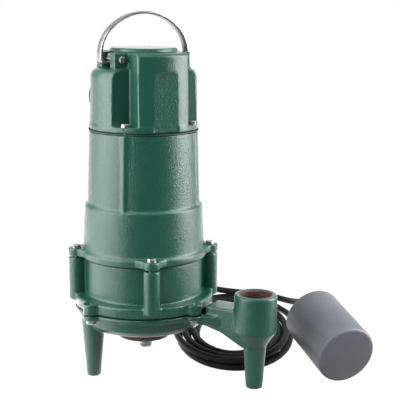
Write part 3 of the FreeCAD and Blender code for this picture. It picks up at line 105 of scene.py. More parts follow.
class Graph:
    """A short way to write a node tree."""

    def __init__(self, tree: bpy.types.NodeTree) -> None:
        """Keeps the tree and clears it."""
        self.tree = tree
        tree.nodes.clear()

    def add(self, kind: str, values: dict | None = None, **settings: object) -> bpy.types.Node:
        """Adds a node.

        Args:
            kind: The node's type name.
            values: Socket values or links by socket name or index.
            settings: The node's own properties.

        Returns:
            The new node.
        """
        node = self.tree.nodes.new(kind)
        for name, setting in settings.items():
            setattr(node, name, setting)
        for name, given in (values or {}).items():
            socket = node.inputs[name]
            if isinstance(given, bpy.types.NodeSocket):
                self.tree.links.new(given, socket)
            else:
                socket.default_value = given
        return node

    def math(self, kind: str, first: object, second: object = 0.0) -> bpy.types.NodeSocket:
        """The result of a sum, product or function of one or two values."""
        return self.add("ShaderNodeMath", {0: first, 1: second}, operation=kind).outputs[0]

    def noise(self, spot: object, scale: object, detail: float,
              roughness: float = 0.5) -> bpy.types.NodeSocket:
        """A noise's value at a spot."""
        values = {"Vector": spot, "Scale": scale, "Detail": detail, "Roughness": roughness}
        return self.add("ShaderNodeTexNoise", values).outputs["Fac"]

    def mix(self, factor: object, first: object, second: object, kind: str = "MIX") -> bpy.types.NodeSocket:
        """Mixes two colours.

        Args:
            factor: Share of the second colour, a number or a socket.
            first: The first colour.
            second: The second colour.
            kind: The blend type.

        Returns:
            The mixed colour's socket.
        """
        node = self.add("ShaderNodeMix", data_type="RGBA", blend_type=kind)
        for index, given in ((0, factor), (6, first), (7, second)):
            if isinstance(given, bpy.types.NodeSocket):
                self.tree.links.new(given, node.inputs[index])
            else:
                node.inputs[index].default_value = (*given, 1.0) if isinstance(given, tuple) else given
        return node.outputs[2]

    def sum(self, *terms: tuple[object, float]) -> bpy.types.NodeSocket:
        """Adds sockets, each times its weight.

        Args:
            terms: Pairs of a socket and its weight.

        Returns:
            The sum's socket.
        """
        total: object = 0.0
        for socket, weight in terms:
            node = self.add("ShaderNodeMath", {0: socket, 1: weight, 2: total}, operation="MULTIPLY_ADD")
            total = node.outputs[0]
        return total

    def ramp(self, socket: object, low: object, high: object,
             out: tuple[object, object] = (0.0, 1.0)) -> bpy.types.NodeSocket:
        """Maps a range of a socket to another range, and clamps it.

        Args:
            socket: What is mapped.
            low: The value that gives out's first number.
            high: The value that gives out's second number.
            out: The range that comes out.

        Returns:
            The mapped value's socket.
        """
        node = self.add("ShaderNodeMapRange", {0: socket, 1: low, 2: high, 3: out[0], 4: out[1]})
        return node.outputs[0]


def shader_group(name: str, inputs: dict[str, float | None], outputs: Sequence[str],
                 wire: Callable[[Graph, dict, dict], None]) -> bpy.types.NodeTree:
    """Builds a shader node group.

    Args:
        name: The group's name.
        inputs: Input names with their default, a number, or None for a vector.
        outputs: Names of the outputs, which are numbers.
        wire: Fills the group, given its graph and its input and output sockets.

    Returns:
        The finished group.
    """
    tree = bpy.data.node_groups.new(name, "ShaderNodeTree")
    for label, default in inputs.items():
        kind = "NodeSocketVector" if default is None else "NodeSocketFloat"
        socket = tree.interface.new_socket(label, in_out="INPUT", socket_type=kind)
        if default is not None:
            socket.default_value = default
    for label in outputs:
        tree.interface.new_socket(label, in_out="OUTPUT", socket_type="NodeSocketFloat")
    graph = Graph(tree)
    way_in = graph.add("NodeGroupInput")
    way_out = graph.add("NodeGroupOutput")
    wire(graph, way_in.outputs, way_out.inputs)
    return tree


def wire_relief(graph: Graph, given: dict, taken: dict) -> None:
    """Fills the group for moulded and cast surfaces, with lumps of two sizes and mottle."""
    spot = given["Vector"]
    lumps = graph.ramp(graph.noise(spot, given["Fine Scale"], 2.0, 0.45), 0.3, 0.7)
    swell = graph.ramp(graph.noise(spot, given["Coarse Scale"], 3.0, 0.55), 0.25, 0.75)
    height = graph.math("ADD", lumps, graph.math("MULTIPLY", swell, given["Coarse Share"]))
    mottle = graph.sum((graph.noise(spot, 22.0, 3.0), 0.6), (swell, 0.25), (lumps, 0.15))
    graph.tree.links.new(height, taken["Height"])
    graph.tree.links.new(graph.ramp(mottle, 0.3, 0.7), taken["Mottle"])


def wire_grain(graph: Graph, given: dict, taken: dict) -> None:
    """Fills the group for brushed and rolled metal, whose lines run along one direction."""
    spot = given["Vector"]
    stretched = graph.add("ShaderNodeVectorMath", {0: spot, 1: given["Stretch"]}, operation="MULTIPLY")
    lines = graph.noise(stretched.outputs[0], given["Scale"], 4.0, 0.6)
    graph.tree.links.new(lines, taken["Height"])
    mixed = graph.sum((lines, 0.55), (graph.noise(spot, 60.0, 3.0), 0.45))
    graph.tree.links.new(graph.ramp(mixed, 0.32, 0.68), taken["Streak"])


def wire_rub(graph: Graph, given: dict, taken: dict) -> None:
    """Fills the group for rubbed edges, broken up by noise, from how sharply the surface turns."""
    turn = graph.add("ShaderNodeNewGeometry").outputs["Pointiness"]
    edge = graph.ramp(turn, given["Low"], given["High"])
    broken = graph.ramp(graph.noise(given["Vector"], given["Break Scale"], 4.0), 0.42, 0.62)
    graph.tree.links.new(graph.math("MULTIPLY", edge, broken), taken["Mask"])


@dataclass(frozen=True)
class Moulded:
    """A cast, painted, moulded or rubber finish, with lumps of two sizes."""

    name: str
    base: Colour
    tint: Colour
    roughness: Pair
    fine: float = 700.0
    coarse: float = 220.0
    share: float = 0.6
    depth: float = 0.0002
    metallic: float = 0.0
    coat: float = 0.0
    coat_roughness: float = 0.15
    specular: float = 0.5
    edge: Colour | None = None
    edge_low: float = 0.53
    edge_high: float = 0.6

    def material(self, library: FinishLibrary) -> bpy.types.Material:
        """Builds the material with its own shader."""
        made, graph, spot = library.start(self.name)
        scales = {"Fine Scale": self.fine, "Coarse Scale": self.coarse, "Coarse Share": self.share}
        relief = graph.add("ShaderNodeGroup", {"Vector": spot, **scales}, node_tree=library.relief)
        colour = graph.mix(relief.outputs["Mottle"], self.base, self.tint)
        if self.edge is not None:
            limits = {"Low": self.edge_low, "High": self.edge_high, "Break Scale": 260.0}
            rub = graph.add("ShaderNodeGroup", {"Vector": spot, **limits}, node_tree=library.rub)
            colour = graph.mix(rub.outputs["Mask"], colour, self.edge)
        gloss = graph.ramp(relief.outputs["Mottle"], 0.0, 1.0, self.roughness)
        bump = graph.add("ShaderNodeBump", {"Height": relief.outputs["Height"], "Distance": self.depth})
        library.shade(graph, {"Base Color": colour, "Roughness": gloss, "Normal": bump.outputs[0],
                              "Metallic": self.metallic, "Coat Weight": self.coat,
                              "Coat Roughness": self.coat_roughness, "Coat Normal": bump.outputs[0],
                              "Specular IOR Level": self.specular})
        return made


@dataclass(frozen=True)
class Drawn:
    """A brushed, ground, rolled or wound metal finish, whose lines run one way."""

    name: str
    base: Colour
    tint: Colour
    roughness: Pair
    stretch: Point = (1.0, 1.0, 0.08)
    scale: float = 900.0
    depth: float = 0.00004
    anisotropic: float = 0.0

    def material(self, library: FinishLibrary) -> bpy.types.Material:
        """Builds the material with its own shader."""
        made, graph, spot = library.start(self.name)
        grain = graph.add("ShaderNodeGroup", {"Vector": spot, "Stretch": self.stretch, "Scale": self.scale},
                          node_tree=library.grain)
        colour = graph.mix(grain.outputs["Streak"], self.base, self.tint)
        gloss = graph.ramp(grain.outputs["Streak"], 0.0, 1.0, self.roughness)
        bump = graph.add("ShaderNodeBump", {"Height": grain.outputs["Height"], "Distance": self.depth})
        library.shade(graph, {"Base Color": colour, "Roughness": gloss, "Normal": bump.outputs[0],
                              "Metallic": 1.0, "Anisotropic": self.anisotropic})
        return made


class FinishLibrary:
    """Builds the shared groups once, and each finish's material when it is first asked for."""

    def __init__(self) -> None:
        """Builds the three groups."""
        self.made: dict[str, bpy.types.Material] = {}
        relief = {"Vector": None, "Fine Scale": 700.0, "Coarse Scale": 220.0, "Coarse Share": 0.5}
        self.relief = shader_group("surface_relief", relief, ("Height", "Mottle"), wire_relief)
        grain = {"Vector": None, "Stretch": None, "Scale": 900.0}
        self.grain = shader_group("drawn_grain", grain, ("Height", "Streak"), wire_grain)
        rub = {"Vector": None, "Low": 0.53, "High": 0.6, "Break Scale": 260.0}
        self.rub = shader_group("edge_rub", rub, ("Mask",), wire_rub)

    def start(self, name: str) -> tuple[bpy.types.Material, Graph, bpy.types.NodeSocket]:
        """Starts a material.

        Args:
            name: The material's name.

        Returns:
            The material, its graph and its object coordinates' socket.
        """
        made = bpy.data.materials.new(name)
        made.use_nodes = True
        graph = Graph(made.node_tree)
        spot = graph.add("ShaderNodeTexCoord").outputs["Object"]
        return made, graph, spot

    def shade(self, graph: Graph, values: dict) -> None:
        """Ends a material in a Principled shader.

        Args:
            graph: The material's graph.
            values: Values or sockets by input name.
        """
        shader = graph.add("ShaderNodeBsdfPrincipled", values)
        graph.add("ShaderNodeOutputMaterial", {"Surface": shader.outputs[0]})

    def get(self, finish: Moulded | Drawn) -> bpy.types.Material:
        """The material of a finish.

        Args:
            finish: The finish.

        Returns:
            Its material, built once.
        """
        if finish.name not in self.made:
            self.made[finish.name] = finish.material(self)
        return self.made[finish.name]


GREEN = Moulded("green_powder_coat", (0.0065, 0.058, 0.038), (0.01, 0.076, 0.05), (0.4, 0.5), fine=820.0,
                coarse=420.0, share=0.2, depth=0.00019, coat=1.0, coat_roughness=0.13, specular=0.1,
                edge=(0.02, 0.1, 0.07), edge_low=0.54, edge_high=0.64)
PRIMER = Moulded("red_primer", (0.072, 0.029, 0.025), (0.11, 0.048, 0.04), (0.6, 0.8), depth=0.0002)
STRAP = Drawn("brushed_strap", (0.34, 0.32, 0.29), (0.54, 0.51, 0.48), (0.22, 0.38), stretch=(1.0, 1.0, 0.2),
              anisotropic=0.3)
ZINC = Drawn("zinc_plate", (0.4, 0.4, 0.38), (0.58, 0.58, 0.56), (0.26, 0.42), stretch=(1.0, 1.0, 1.0))
BLACKED = Drawn("dull_bolt", (0.28, 0.28, 0.28), (0.42, 0.42, 0.42), (0.35, 0.5), stretch=(1.0, 1.0, 1.0))
GASKET = Moulded("gasket_rubber", (0.012, 0.012, 0.012), (0.022, 0.022, 0.022), (0.7, 0.85))
PAINTED_SEAM = Moulded("painted_seam", (0.008, 0.022, 0.018), (0.014, 0.032, 0.026), (0.5, 0.65))
JACKET = Moulded("cord_jacket", (0.005, 0.005, 0.0055), (0.01, 0.01, 0.011), (0.5, 0.62), fine=1500.0,
                 coarse=500.0, share=0.3, depth=0.00006, specular=0.12)
PLASTIC = Moulded("black_moulding", (0.014, 0.014, 0.014), (0.028, 0.028, 0.028), (0.4, 0.55), depth=0.00008)
FLOAT = Moulded("grey_moulding", (0.1, 0.11, 0.127), (0.125, 0.135, 0.153), (0.42, 0.52), fine=1300.0,
                coarse=90.0, share=0.5, depth=0.00006)
BRASS = Drawn("plug_blade_brass", (0.72, 0.55, 0.26), (0.86, 0.7, 0.4), (0.2, 0.34))
SHEETS = Drawn("lamination_stack", (0.2, 0.2, 0.21), (0.34, 0.34, 0.35), (0.35, 0.5),
               stretch=(0.05, 0.05, 1.0), scale=2200.0, depth=0.0001)
COPPER = Drawn("varnished_winding", (0.42, 0.14, 0.05), (0.6, 0.24, 0.1), (0.25, 0.4),
               stretch=(0.15, 0.15, 1.0), scale=1600.0, depth=0.0003)
ALUMINIUM = Moulded("cast_aluminium", (0.55, 0.55, 0.57), (0.68, 0.68, 0.7), (0.35, 0.5), metallic=1.0)
GROUND = Drawn("ground_steel", (0.52, 0.52, 0.53), (0.68, 0.68, 0.69), (0.14, 0.26), stretch=(0.1, 0.1, 1.0))
CARBON = Moulded("seal_carbon", (0.03, 0.03, 0.032), (0.05, 0.05, 0.052), (0.2, 0.32), depth=0.00005)
IRON = Moulded("machined_iron", (0.13, 0.13, 0.13), (0.24, 0.235, 0.23), (0.4, 0.6), metallic=0.9,
               depth=0.00025, edge=(0.4, 0.4, 0.4))


@dataclass
class Workshop:
    """What every maker of pieces shares: the frame, the finishes, and how a piece is finished."""

    frame: dict
    finishes: FinishLibrary

    def piece(self, name: str, mesh: bpy.types.Mesh, finish: Moulded | Drawn, slot: Slot,
              body: Body = Body.PUMP, replaces: Sequence[str] = ()) -> bpy.types.Object:
        """Makes a finished piece from a mesh whose place is in its points.

        Args:
            name: The piece's name.
            mesh: Its mesh, in metres in the row's frame.
            finish: Its finish.
            slot: The record's slot, passed on to settle.
            body: The body it rides on.
            replaces: CAD nodes it stands for.

        Returns:
            The piece.
        """
        mesh.name = name
        self.paint(mesh, finish)
        return self.settle(placed(name, mesh), slot, body, replaces)

    def paint(self, mesh: bpy.types.Mesh, finish: Moulded | Drawn) -> None:
        """Gives a mesh one material."""
        mesh.materials.clear()
        mesh.materials.append(self.finishes.get(finish))

    def settle(self, made: bpy.types.Object, slot: Slot, body: Body,
               replaces: Sequence[str]) -> bpy.types.Object:
        """Sets a piece on its body and says what it stands for.

        Args:
            made: The piece.
            slot: The record's slot; not used.
            body: The body it rides on.
            replaces: CAD nodes it stands for.

        Returns:
            The piece.
        """
        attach(made, body.value)
        if replaces:
            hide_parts(*replaces)
        LOG.info("%s rides on %s and stands for %s", made.name, body.value, list(replaces) or "nothing")
        return made

    def dress(self, node: str, finish: Moulded | Drawn) -> None:
        """Gives a CAD node that stays its material.

        Args:
            node: The node's name.
            finish: Its finish.
        """
        self.paint(self.frame["nodes"][node].data, finish)

    def copy(self, node: str) -> bpy.types.Mesh:
        """A node's mesh with its doubles merged.

        Args:
            node: The node's name.

        Returns:
            A new mesh.
        """
        work = bmesh.new()
        work.from_mesh(self.frame["nodes"][node].data)
        bmesh.ops.remove_doubles(work, verts=work.verts, dist=1e-6)
        return mesh_of(work, node + "_copy")


def placed(name: str, data: bpy.types.ID) -> bpy.types.Object:
    """Puts a mesh, curve, lamp or camera into the scene as an object."""
    made = bpy.data.objects.new(name, data)
    bpy.context.scene.collection.objects.link(made)
    return made


def mesh_of(work: bmesh.types.BMesh, name: str, smooth: bool = True) -> bpy.types.Mesh:
    """Turns a bmesh into a mesh and frees it.

    Args:
        work: The bmesh.
        name: The mesh's name.
        smooth: Whether its faces are shaded smooth.

    Returns:
        The mesh.
    """
    for face in work.faces:
        face.smooth = smooth
    mesh = bpy.data.meshes.new(name)
    work.to_mesh(mesh)
    work.free()
    return mesh


def bake(mesh: bpy.types.Mesh, setup: Callable[[bpy.types.Object], None]) -> bpy.types.Mesh:
    """Runs modifiers on a mesh and returns the plain result.

    Args:
        mesh: The mesh they start from.
        setup: Adds the modifiers to the object it is given.

    Returns:
        The plain mesh.
    """
    holder = placed("work", mesh)
    setup(holder)
    graph = bpy.context.evaluated_depsgraph_get()
    result = bpy.data.meshes.new_from_object(holder.evaluated_get(graph), depsgraph=graph)
    bpy.data.objects.remove(holder)
    return result


def circle(radius: float, steps: int, x: float = 0.0) -> list[Pair]:
    """Points round a circle whose middle is at x."""
    turns = [math.tau * k / steps for k in range(steps)]
    return [(x + radius * math.cos(turn), radius * math.sin(turn)) for turn in turns]


def sized_tree(name: str, sizes: dict[str, float], output: str) -> tuple[bpy.types.NodeTree, Graph, dict]:
    """Starts a geometry tree.

    Args:
        name: The tree's name.
        sizes: Its inputs' defaults by name, whole numbers for counts.
        output: The name of the geometry it gives.

    Returns:
        The tree, its graph and its input sockets by name.
    """
    tree = bpy.data.node_groups.new(name, "GeometryNodeTree")
    for label, default in sizes.items():
        kind = "NodeSocketInt" if isinstance(default, int) else "NodeSocketFloat"
        tree.interface.new_socket(label, in_out="INPUT", socket_type=kind).default_value = default
    tree.interface.new_socket(output, in_out="OUTPUT", socket_type="NodeSocketGeometry")
    graph = Graph(tree)
    return tree, graph, graph.add("NodeGroupInput").outputs


def run_tree(tree: bpy.types.NodeTree, sizes: dict[str, float]) -> bpy.types.Mesh:
    """Runs a geometry tree on nothing, with some of its inputs set by name."""
    names = {item.name: item.identifier for item in tree.interface.items_tree if item.in_out == "INPUT"}

    def setup(holder: bpy.types.Object) -> None:
        """Adds the tree and sets its inputs."""
        nodes = holder.modifiers.new("tree", "NODES")
        nodes.node_group = tree
        for label, size in sizes.items():
            nodes[names[label]] = size
    return bake(bpy.data.meshes.new("start"), setup)


def lathe(profile: Sequence[Pair], place: Matrix, steps: int = 96) -> bpy.types.Mesh:
    """Turns a closed outline of radius and height about +Z, then places it.

    Args:
        profile: Corners of the outline, in metres; a radius of 0 is on the axis.
        place: Where the turned shape goes.
        steps: Steps round the axis.

    Returns:
        The mesh, closed and facing outwards.
    """
    work = bmesh.new()
    rows = []
    for radius, height in profile:
        if radius < 1e-7:
            rows.append([work.verts.new((0, 0, height))] * steps)
        else:
            rows.append([work.verts.new((*spot, height)) for spot in circle(radius, steps)])
    for row, after in zip(rows, rows[1:] + rows[:1]):
        for k in range(steps):
            corners = [row[k], row[(k + 1) % steps], after[(k + 1) % steps], after[k]]
            unique = list(dict.fromkeys(corners))
            if len(unique) > 2:
                work.faces.new(unique)
    bmesh.ops.recalc_face_normals(work, faces=work.faces)
    bmesh.ops.transform(work, matrix=place, verts=work.verts)
    return mesh_of(work, "turned")


def rounded(profile: Sequence[tuple[float, float, float]], steps: int = 5) -> list[Pair]:
    """Rounds the corners of a closed outline.

    Args:
        profile: Corners as radius, height and rounding, in metres.
        steps: Points per rounded corner.

    Returns:
        The outline with its corners rounded.
    """
    outline: list[Pair] = []
    count = len(profile)
    for number, (x, y, rounding) in enumerate(profile):
        corner = Vector((x, y))
        if rounding <= 0:
            outline.append((x, y))
            continue
        before = (Vector(profile[number - 1][:2]) - corner).normalized()
        after = (Vector(profile[(number + 1) % count][:2]) - corner).normalized()
        for step in range(steps + 1):
            share = step / steps
            spot = corner + before * rounding * (1 - share) ** 2 + after * rounding * share ** 2
            outline.append((max(spot.x, 0.0), spot.y))
    return outline


def ridge(points: Iterable[Vector], profile: Sequence[Pair], across: Callable[[int], Vector],
          closed_ends: bool = True) -> bmesh.types.BMesh:
    """Sweeps a closed outline along points.

    Args:
        points: The path.
        profile: The outline, as offsets across the path and square to both.
        across: The direction, at a point's number, in which the outline's first number is measured.
        closed_ends: Whether the ends are capped.

    Returns:
        A bmesh of the swept shape.
    """
    work = bmesh.new()
    path = list(points)
    rows = []
    for number, spot in enumerate(path):
        along = path[min(number + 1, len(path) - 1)] - path[max(number - 1, 0)]
        side = across(number).normalized()
        rise = along.cross(side).normalized()
        rows.append([work.verts.new(spot + side * u + rise * v) for u, v in profile])
    count = len(profile)
    for row, after in zip(rows, rows[1:]):
        for k in range(count):
            work.faces.new((row[k], row[(k + 1) % count], after[(k + 1) % count], after[k]))
    if closed_ends:
        work.faces.new(rows[0])
        work.faces.new(rows[-1])
    bmesh.ops.recalc_face_normals(work, faces=work.faces)
    return work


def shift(x: float = 0.0, y: float = 0.0, z: float = 0.0) -> Matrix:
    """A move by x, y and z metres."""
    return Matrix.Translation((x, y, z))


def spin(angle: float, axis: str = "Z") -> Matrix:
    """A turn by an angle in radians about an axis."""
    return Matrix.Rotation(angle, 4, axis)


def prism(outline: Sequence[Pair], low: float, high: float, place: Matrix) -> bmesh.types.BMesh:
    """Raises an outline seen from above to a closed solid.

    Args:
        outline: Corners in the plane, in metres.
        low: Height of the bottom.
        high: Height of the top.
        place: Where the solid goes.

    Returns:
        A bmesh of the solid.
    """
    work = bmesh.new()
    floor = [work.verts.new((x, y, low)) for x, y in outline]
    roof = [work.verts.new((x, y, high)) for x, y in outline]
    count = len(outline)
    work.faces.new(floor[::-1])
    work.faces.new(roof)
    for k in range(count):
        work.faces.new((floor[k], floor[(k + 1) % count], roof[(k + 1) % count], roof[k]))
    bmesh.ops.recalc_face_normals(work, faces=work.faces)
    bmesh.ops.transform(work, matrix=place, verts=work.verts)
    return work


@dataclass
class Castings:
    """The iron castings, whose edges are rounded and corners filled as cast and painted metal is."""

    shop: Workshop
    voxel: float = 0.0014
    passes: int = 5
    ear_circle: float = 0.0853
    ear_bottom: float = 0.1495
    ear_top: float = 0.1595
    ear_web: Point = (0.078, 0.019, 0.0097)
    lug_circle: float = 0.089
    lug_web: Point = (0.084, 0.0185, 0.0095)
    rib_centre: float = 0.0677
    rib_radius: float = 0.005
    rib_lean: float = 0.0329
    rib_bottom: float = 0.2145
    rib_top: float = 0.3082

    def join(self, node: str, extras: Iterable[bmesh.types.BMesh]) -> bpy.types.Mesh:
        """A node's mesh with more closed solids that overlap it.

        Args:
            node: The node's name.
            extras: The solids.

        Returns:
            One mesh of them all.
        """
        work = bmesh.new()
        base = self.shop.copy(node)
        work.from_mesh(base)
        bpy.data.meshes.remove(base)
        for extra in extras:
            part = mesh_of(extra, "extra")
            work.from_mesh(part)
            bpy.data.meshes.remove(part)
        return mesh_of(work, node + "_joined")

    def soften(self, node: str, finish: Moulded | Drawn, slot: Slot, extras: Iterable[bmesh.types.BMesh] = (),
               voxel: float | None = None, passes: int | None = None) -> bpy.types.Object:
        """Rebuilds a casting with rounded edges and filled corners.

        Args:
            node: The CAD node it stands for.
            finish: Its finish.
            slot: The record's slot.
            extras: Solids that are cast in one with it.
            voxel: The grain it is rebuilt at, in metres.
            passes: How often it is smoothed.

        Returns:
            The piece.
        """
        def setup(holder: bpy.types.Object) -> None:
            """Adds the two modifiers."""
            grain = holder.modifiers.new("grain", "REMESH")
            grain.mode = "VOXEL"
            grain.voxel_size = voxel or self.voxel
            grain.use_smooth_shade = True
            soft = holder.modifiers.new("soft", "SMOOTH")
            soft.factor = 0.5
            soft.iterations = passes or self.passes
        mesh = bake(self.join(node, extras), setup)
        return self.shop.piece(node + "_cast", mesh, finish, slot, replaces=[node])

    def flares(self, reach: float, turn: float, low: float, high: float, root: float,
               wide: float, narrow: float) -> list[bmesh.types.BMesh]:
        """Webs that widen four ears where they leave the flange.

        Args:
            reach: The radius that the ears' middles are on.
            turn: The first ear's bearing.
            low: The webs' bottom.
            high: The webs' top.
            root: The radius where the webs start.
            wide: Half their width at the root.
            narrow: Half their width at the ear.

        Returns:
            Four solids.
        """
        waist = (root + WAIST * (reach - root), WAIST * wide + (1.0 - WAIST) * narrow)
        half = [(root, wide), waist, (reach, narrow)]
        outline = [(x, -y) for x, y in half] + half[::-1]
        return [prism(outline, low, high, shift(PUMP_X) @ spin(turn + k * math.pi / 2)) for k in range(4)]

    def ribs(self) -> list[bmesh.types.BMesh]:
        """Low round ribs that lean with the motor housing's wall, one under each of the cap's screws."""
        outline = circle(self.rib_radius, 20, self.rib_centre)
        lean = Matrix.Identity(4)
        lean[0][2], lean[0][3] = -self.rib_lean, self.rib_lean * self.rib_bottom
        return [prism(outline, self.rib_bottom, self.rib_top,
                      shift(PUMP_X) @ spin(CAP_TURN + (k + 0.5) * math.pi / 2) @ lean) for k in range(4)]

    def make(self) -> None:
        """Makes the cap, the motor housing, the seal housing, the volute and the suction ring."""
        self.soften("motor_cap", GREEN, Slot.GREEN, voxel=0.0013, passes=4)
        ears = self.flares(self.ear_circle, EARS_TURN, self.ear_bottom, self.ear_top, *self.ear_web)
        self.soften("motor_housing", GREEN, Slot.GREEN, ears + self.ribs(), voxel=0.0015, passes=4)
        lugs = self.flares(self.lug_circle, LUGS_TURN, 0.088, 0.101, *self.lug_web)
        self.soften("seal_housing", GREEN, Slot.GREEN, lugs)
        lugs = self.flares(self.lug_circle, LUGS_TURN, 0.0795, 0.0865, *self.lug_web)
        self.soften("volute", GREEN, Slot.GREEN, lugs)
        self.soften("suction_ring", PRIMER, Slot.PRIMER, voxel=0.0008, passes=3)


def bolt_tree(material: bpy.types.Material) -> bpy.types.NodeTree:
    """Builds the tree that sets hexagon bolts round a circle.

    Args:
        material: The bolts' material.

    Returns:
        The tree, whose inputs are the bolts' sizes in metres and their first bearing in radians.
    """
    defaults = {"Count": 4, "Circle": 0.09, "First Bearing": 0.0, "Head Radius": 0.0066, "Head Height": 0.005,
                "Washer Radius": 0.0, "Shank Radius": 0.004, "Shank Length": 0.03, "Seed": 3}
    tree, graph, given = sized_tree("bolt_circle", defaults, "Bolts")

    def rod(sides: int, radius: object, depth: object) -> bpy.types.Node:
        """An upright cylinder about the middle of its height."""
        return graph.add("GeometryNodeMeshCylinder", {"Vertices": sides, "Radius": radius, "Depth": depth})

    def raised(mesh: bpy.types.NodeSocket, height: object) -> bpy.types.NodeSocket:
        """A mesh moved up by a height."""
        place = graph.add("ShaderNodeCombineXYZ", {"Z": height}).outputs[0]
        return graph.add("GeometryNodeTransform", {"Geometry": mesh, "Translation": place}).outputs[0]

    body = graph.math("MULTIPLY", given["Head Height"], 1.0 - CROWN_SHARE)
    head = rod(6, given["Head Radius"], body)
    rise = graph.math("MULTIPLY", given["Head Height"], CROWN_SHARE)
    top = head.outputs["Top"]
    crown = graph.add("GeometryNodeExtrudeMesh", {"Mesh": head.outputs["Mesh"], "Selection": top,
                                                  "Offset Scale": rise}).outputs
    slope = graph.add("GeometryNodeScaleElements", {"Geometry": crown["Mesh"], "Selection": crown["Top"],
                                                    "Scale": CROWN_TAPER})
    washer = rod(32, given["Washer Radius"], WASHER)
    shank = rod(24, given["Shank Radius"], given["Shank Length"])
    bolt = graph.add("GeometryNodeJoinGeometry")
    for part in (raised(slope.outputs[0], graph.math("MULTIPLY", body, 0.5)),
                 raised(washer.outputs["Mesh"], WASHER / 2),
                 raised(shank.outputs["Mesh"], graph.math("MULTIPLY", given["Shank Length"], -0.5))):
        tree.links.new(part, bolt.inputs[0])
    step = graph.math("DIVIDE", math.tau, given["Count"])
    number = graph.add("GeometryNodeInputIndex").outputs[0]
    bearing = graph.math("ADD", graph.math("MULTIPLY", number, step), given["First Bearing"])
    x, y = (graph.math("MULTIPLY", given["Circle"], graph.math(way, bearing)) for way in ("COSINE", "SINE"))
    spot = graph.add("ShaderNodeCombineXYZ", {"X": x, "Y": y})
    places = graph.add("GeometryNodePoints", {"Count": given["Count"], "Position": spot.outputs[0]})
    drift = graph.add("FunctionNodeRandomValue", {"Max": TWIST, "Seed": given["Seed"]}, data_type="FLOAT")
    twist = next(s for s in drift.outputs if s.enabled and s.type == "VALUE")
    lean = graph.add("ShaderNodeCombineXYZ", {"Z": twist})
    copies = graph.add("GeometryNodeInstanceOnPoints", {
        "Points": places.outputs[0], "Instance": bolt.outputs[0], "Rotation": lean.outputs[0]})
    real = graph.add("GeometryNodeRealizeInstances", {"Geometry": copies.outputs[0]})
    painted = graph.add("GeometryNodeSetMaterial", {"Geometry": real.outputs[0], "Material": material})
    graph.add("NodeGroupOutput", {"Bolts": painted.outputs[0]})
    return tree


@dataclass
class Fasteners:
    """The bolts, screws and nuts, set round their circles by one tree."""

    shop: Workshop
    lug_middle: float = 0.3964
    bolt_distance: float = 0.042
    least_edge: float = 0.0015
    least_turn: float = 0.6
    bevel: float = 0.0003

    def ring(self, tree: bpy.types.NodeTree, place: Matrix, **sizes: float) -> bpy.types.Mesh:
        """Runs the tree with some sizes and places the result.

        Args:
            tree: The tree of bolt_tree.
            place: Where the bolts go, with their heads up +Z.
            sizes: Input values, with underscores for the spaces in their names.

        Returns:
            The bolts' mesh.
        """
        mesh = run_tree(tree, {label.replace("_", " ").title(): size for label, size in sizes.items()})
        work = bmesh.new()
        work.from_mesh(mesh)
        bpy.data.meshes.remove(mesh)
        bevelled = [edge for edge in work.edges if len(edge.link_faces) == 2
                    and edge.calc_length() > self.least_edge and edge.calc_face_angle(0) > self.least_turn]
        bmesh.ops.bevel(work, geom=bevelled, offset=self.bevel, segments=2, affect="EDGES", profile=0.6)
        bmesh.ops.transform(work, matrix=place, verts=work.verts)
        return mesh_of(work, "bolts", smooth=False)

    def make(self) -> None:
        """Makes each set of fasteners."""
        zinc = bolt_tree(self.shop.finishes.get(ZINC))
        base = shift(PUMP_X)
        down = base @ spin(math.pi, "X")
        sets = {
            "housing_bolts": (base @ shift(z=0.1595), dict(
                circle=0.0853, first_bearing=EARS_TURN, seed=5, head_radius=0.0052, head_height=0.0037,
                washer_radius=0.006, shank_length=0.0435)),
            "volute_bolts": (down @ shift(z=-0.08), dict(
                circle=0.089, first_bearing=-LUGS_TURN, seed=2, washer_radius=0.0072, shank_length=0.0195)),
            "cap_screws": (base @ shift(z=0.3175), dict(
                circle=0.063, first_bearing=CAP_TURN + math.pi / 4, head_radius=0.005, head_height=0.004,
                washer_radius=0.0057, shank_radius=0.003, shank_length=0.0277)),
            "suction_ring_screws": (down @ shift(z=-0.0415), dict(
                count=3, circle=0.0306, first_bearing=-math.pi / 3, head_radius=0.0034, head_height=0.002,
                shank_radius=0.002, shank_length=0.0185)),
        }
        for node, (place, sizes) in sets.items():
            mesh = self.ring(zinc, place, **sizes)
            self.shop.piece(node + "_set", mesh, ZINC, Slot.ZINC, replaces=[node])
        across = spin(math.pi / 2, "X")
        work = bmesh.new()
        for side in (-1, 1):
            place = base @ spin(CAP_TURN) @ shift(side * self.bolt_distance, -0.028, self.lug_middle) @ across
            mesh = self.ring(zinc, place, count=1, circle=0.0, head_radius=0.0041, head_height=0.0035,
                             washer_radius=0.0047, shank_radius=0.0031, shank_length=0.063)
            work.from_mesh(mesh)
            bpy.data.meshes.remove(mesh)
        pair = mesh_of(work, "pair", False)
        self.shop.piece("handle_bolt_pair", pair, ZINC, Slot.ZINC, replaces=["handle_bolts"])
        for node in ("handle_nuts", "oil_fill_plug"):
            self.shop.dress(node, ZINC)


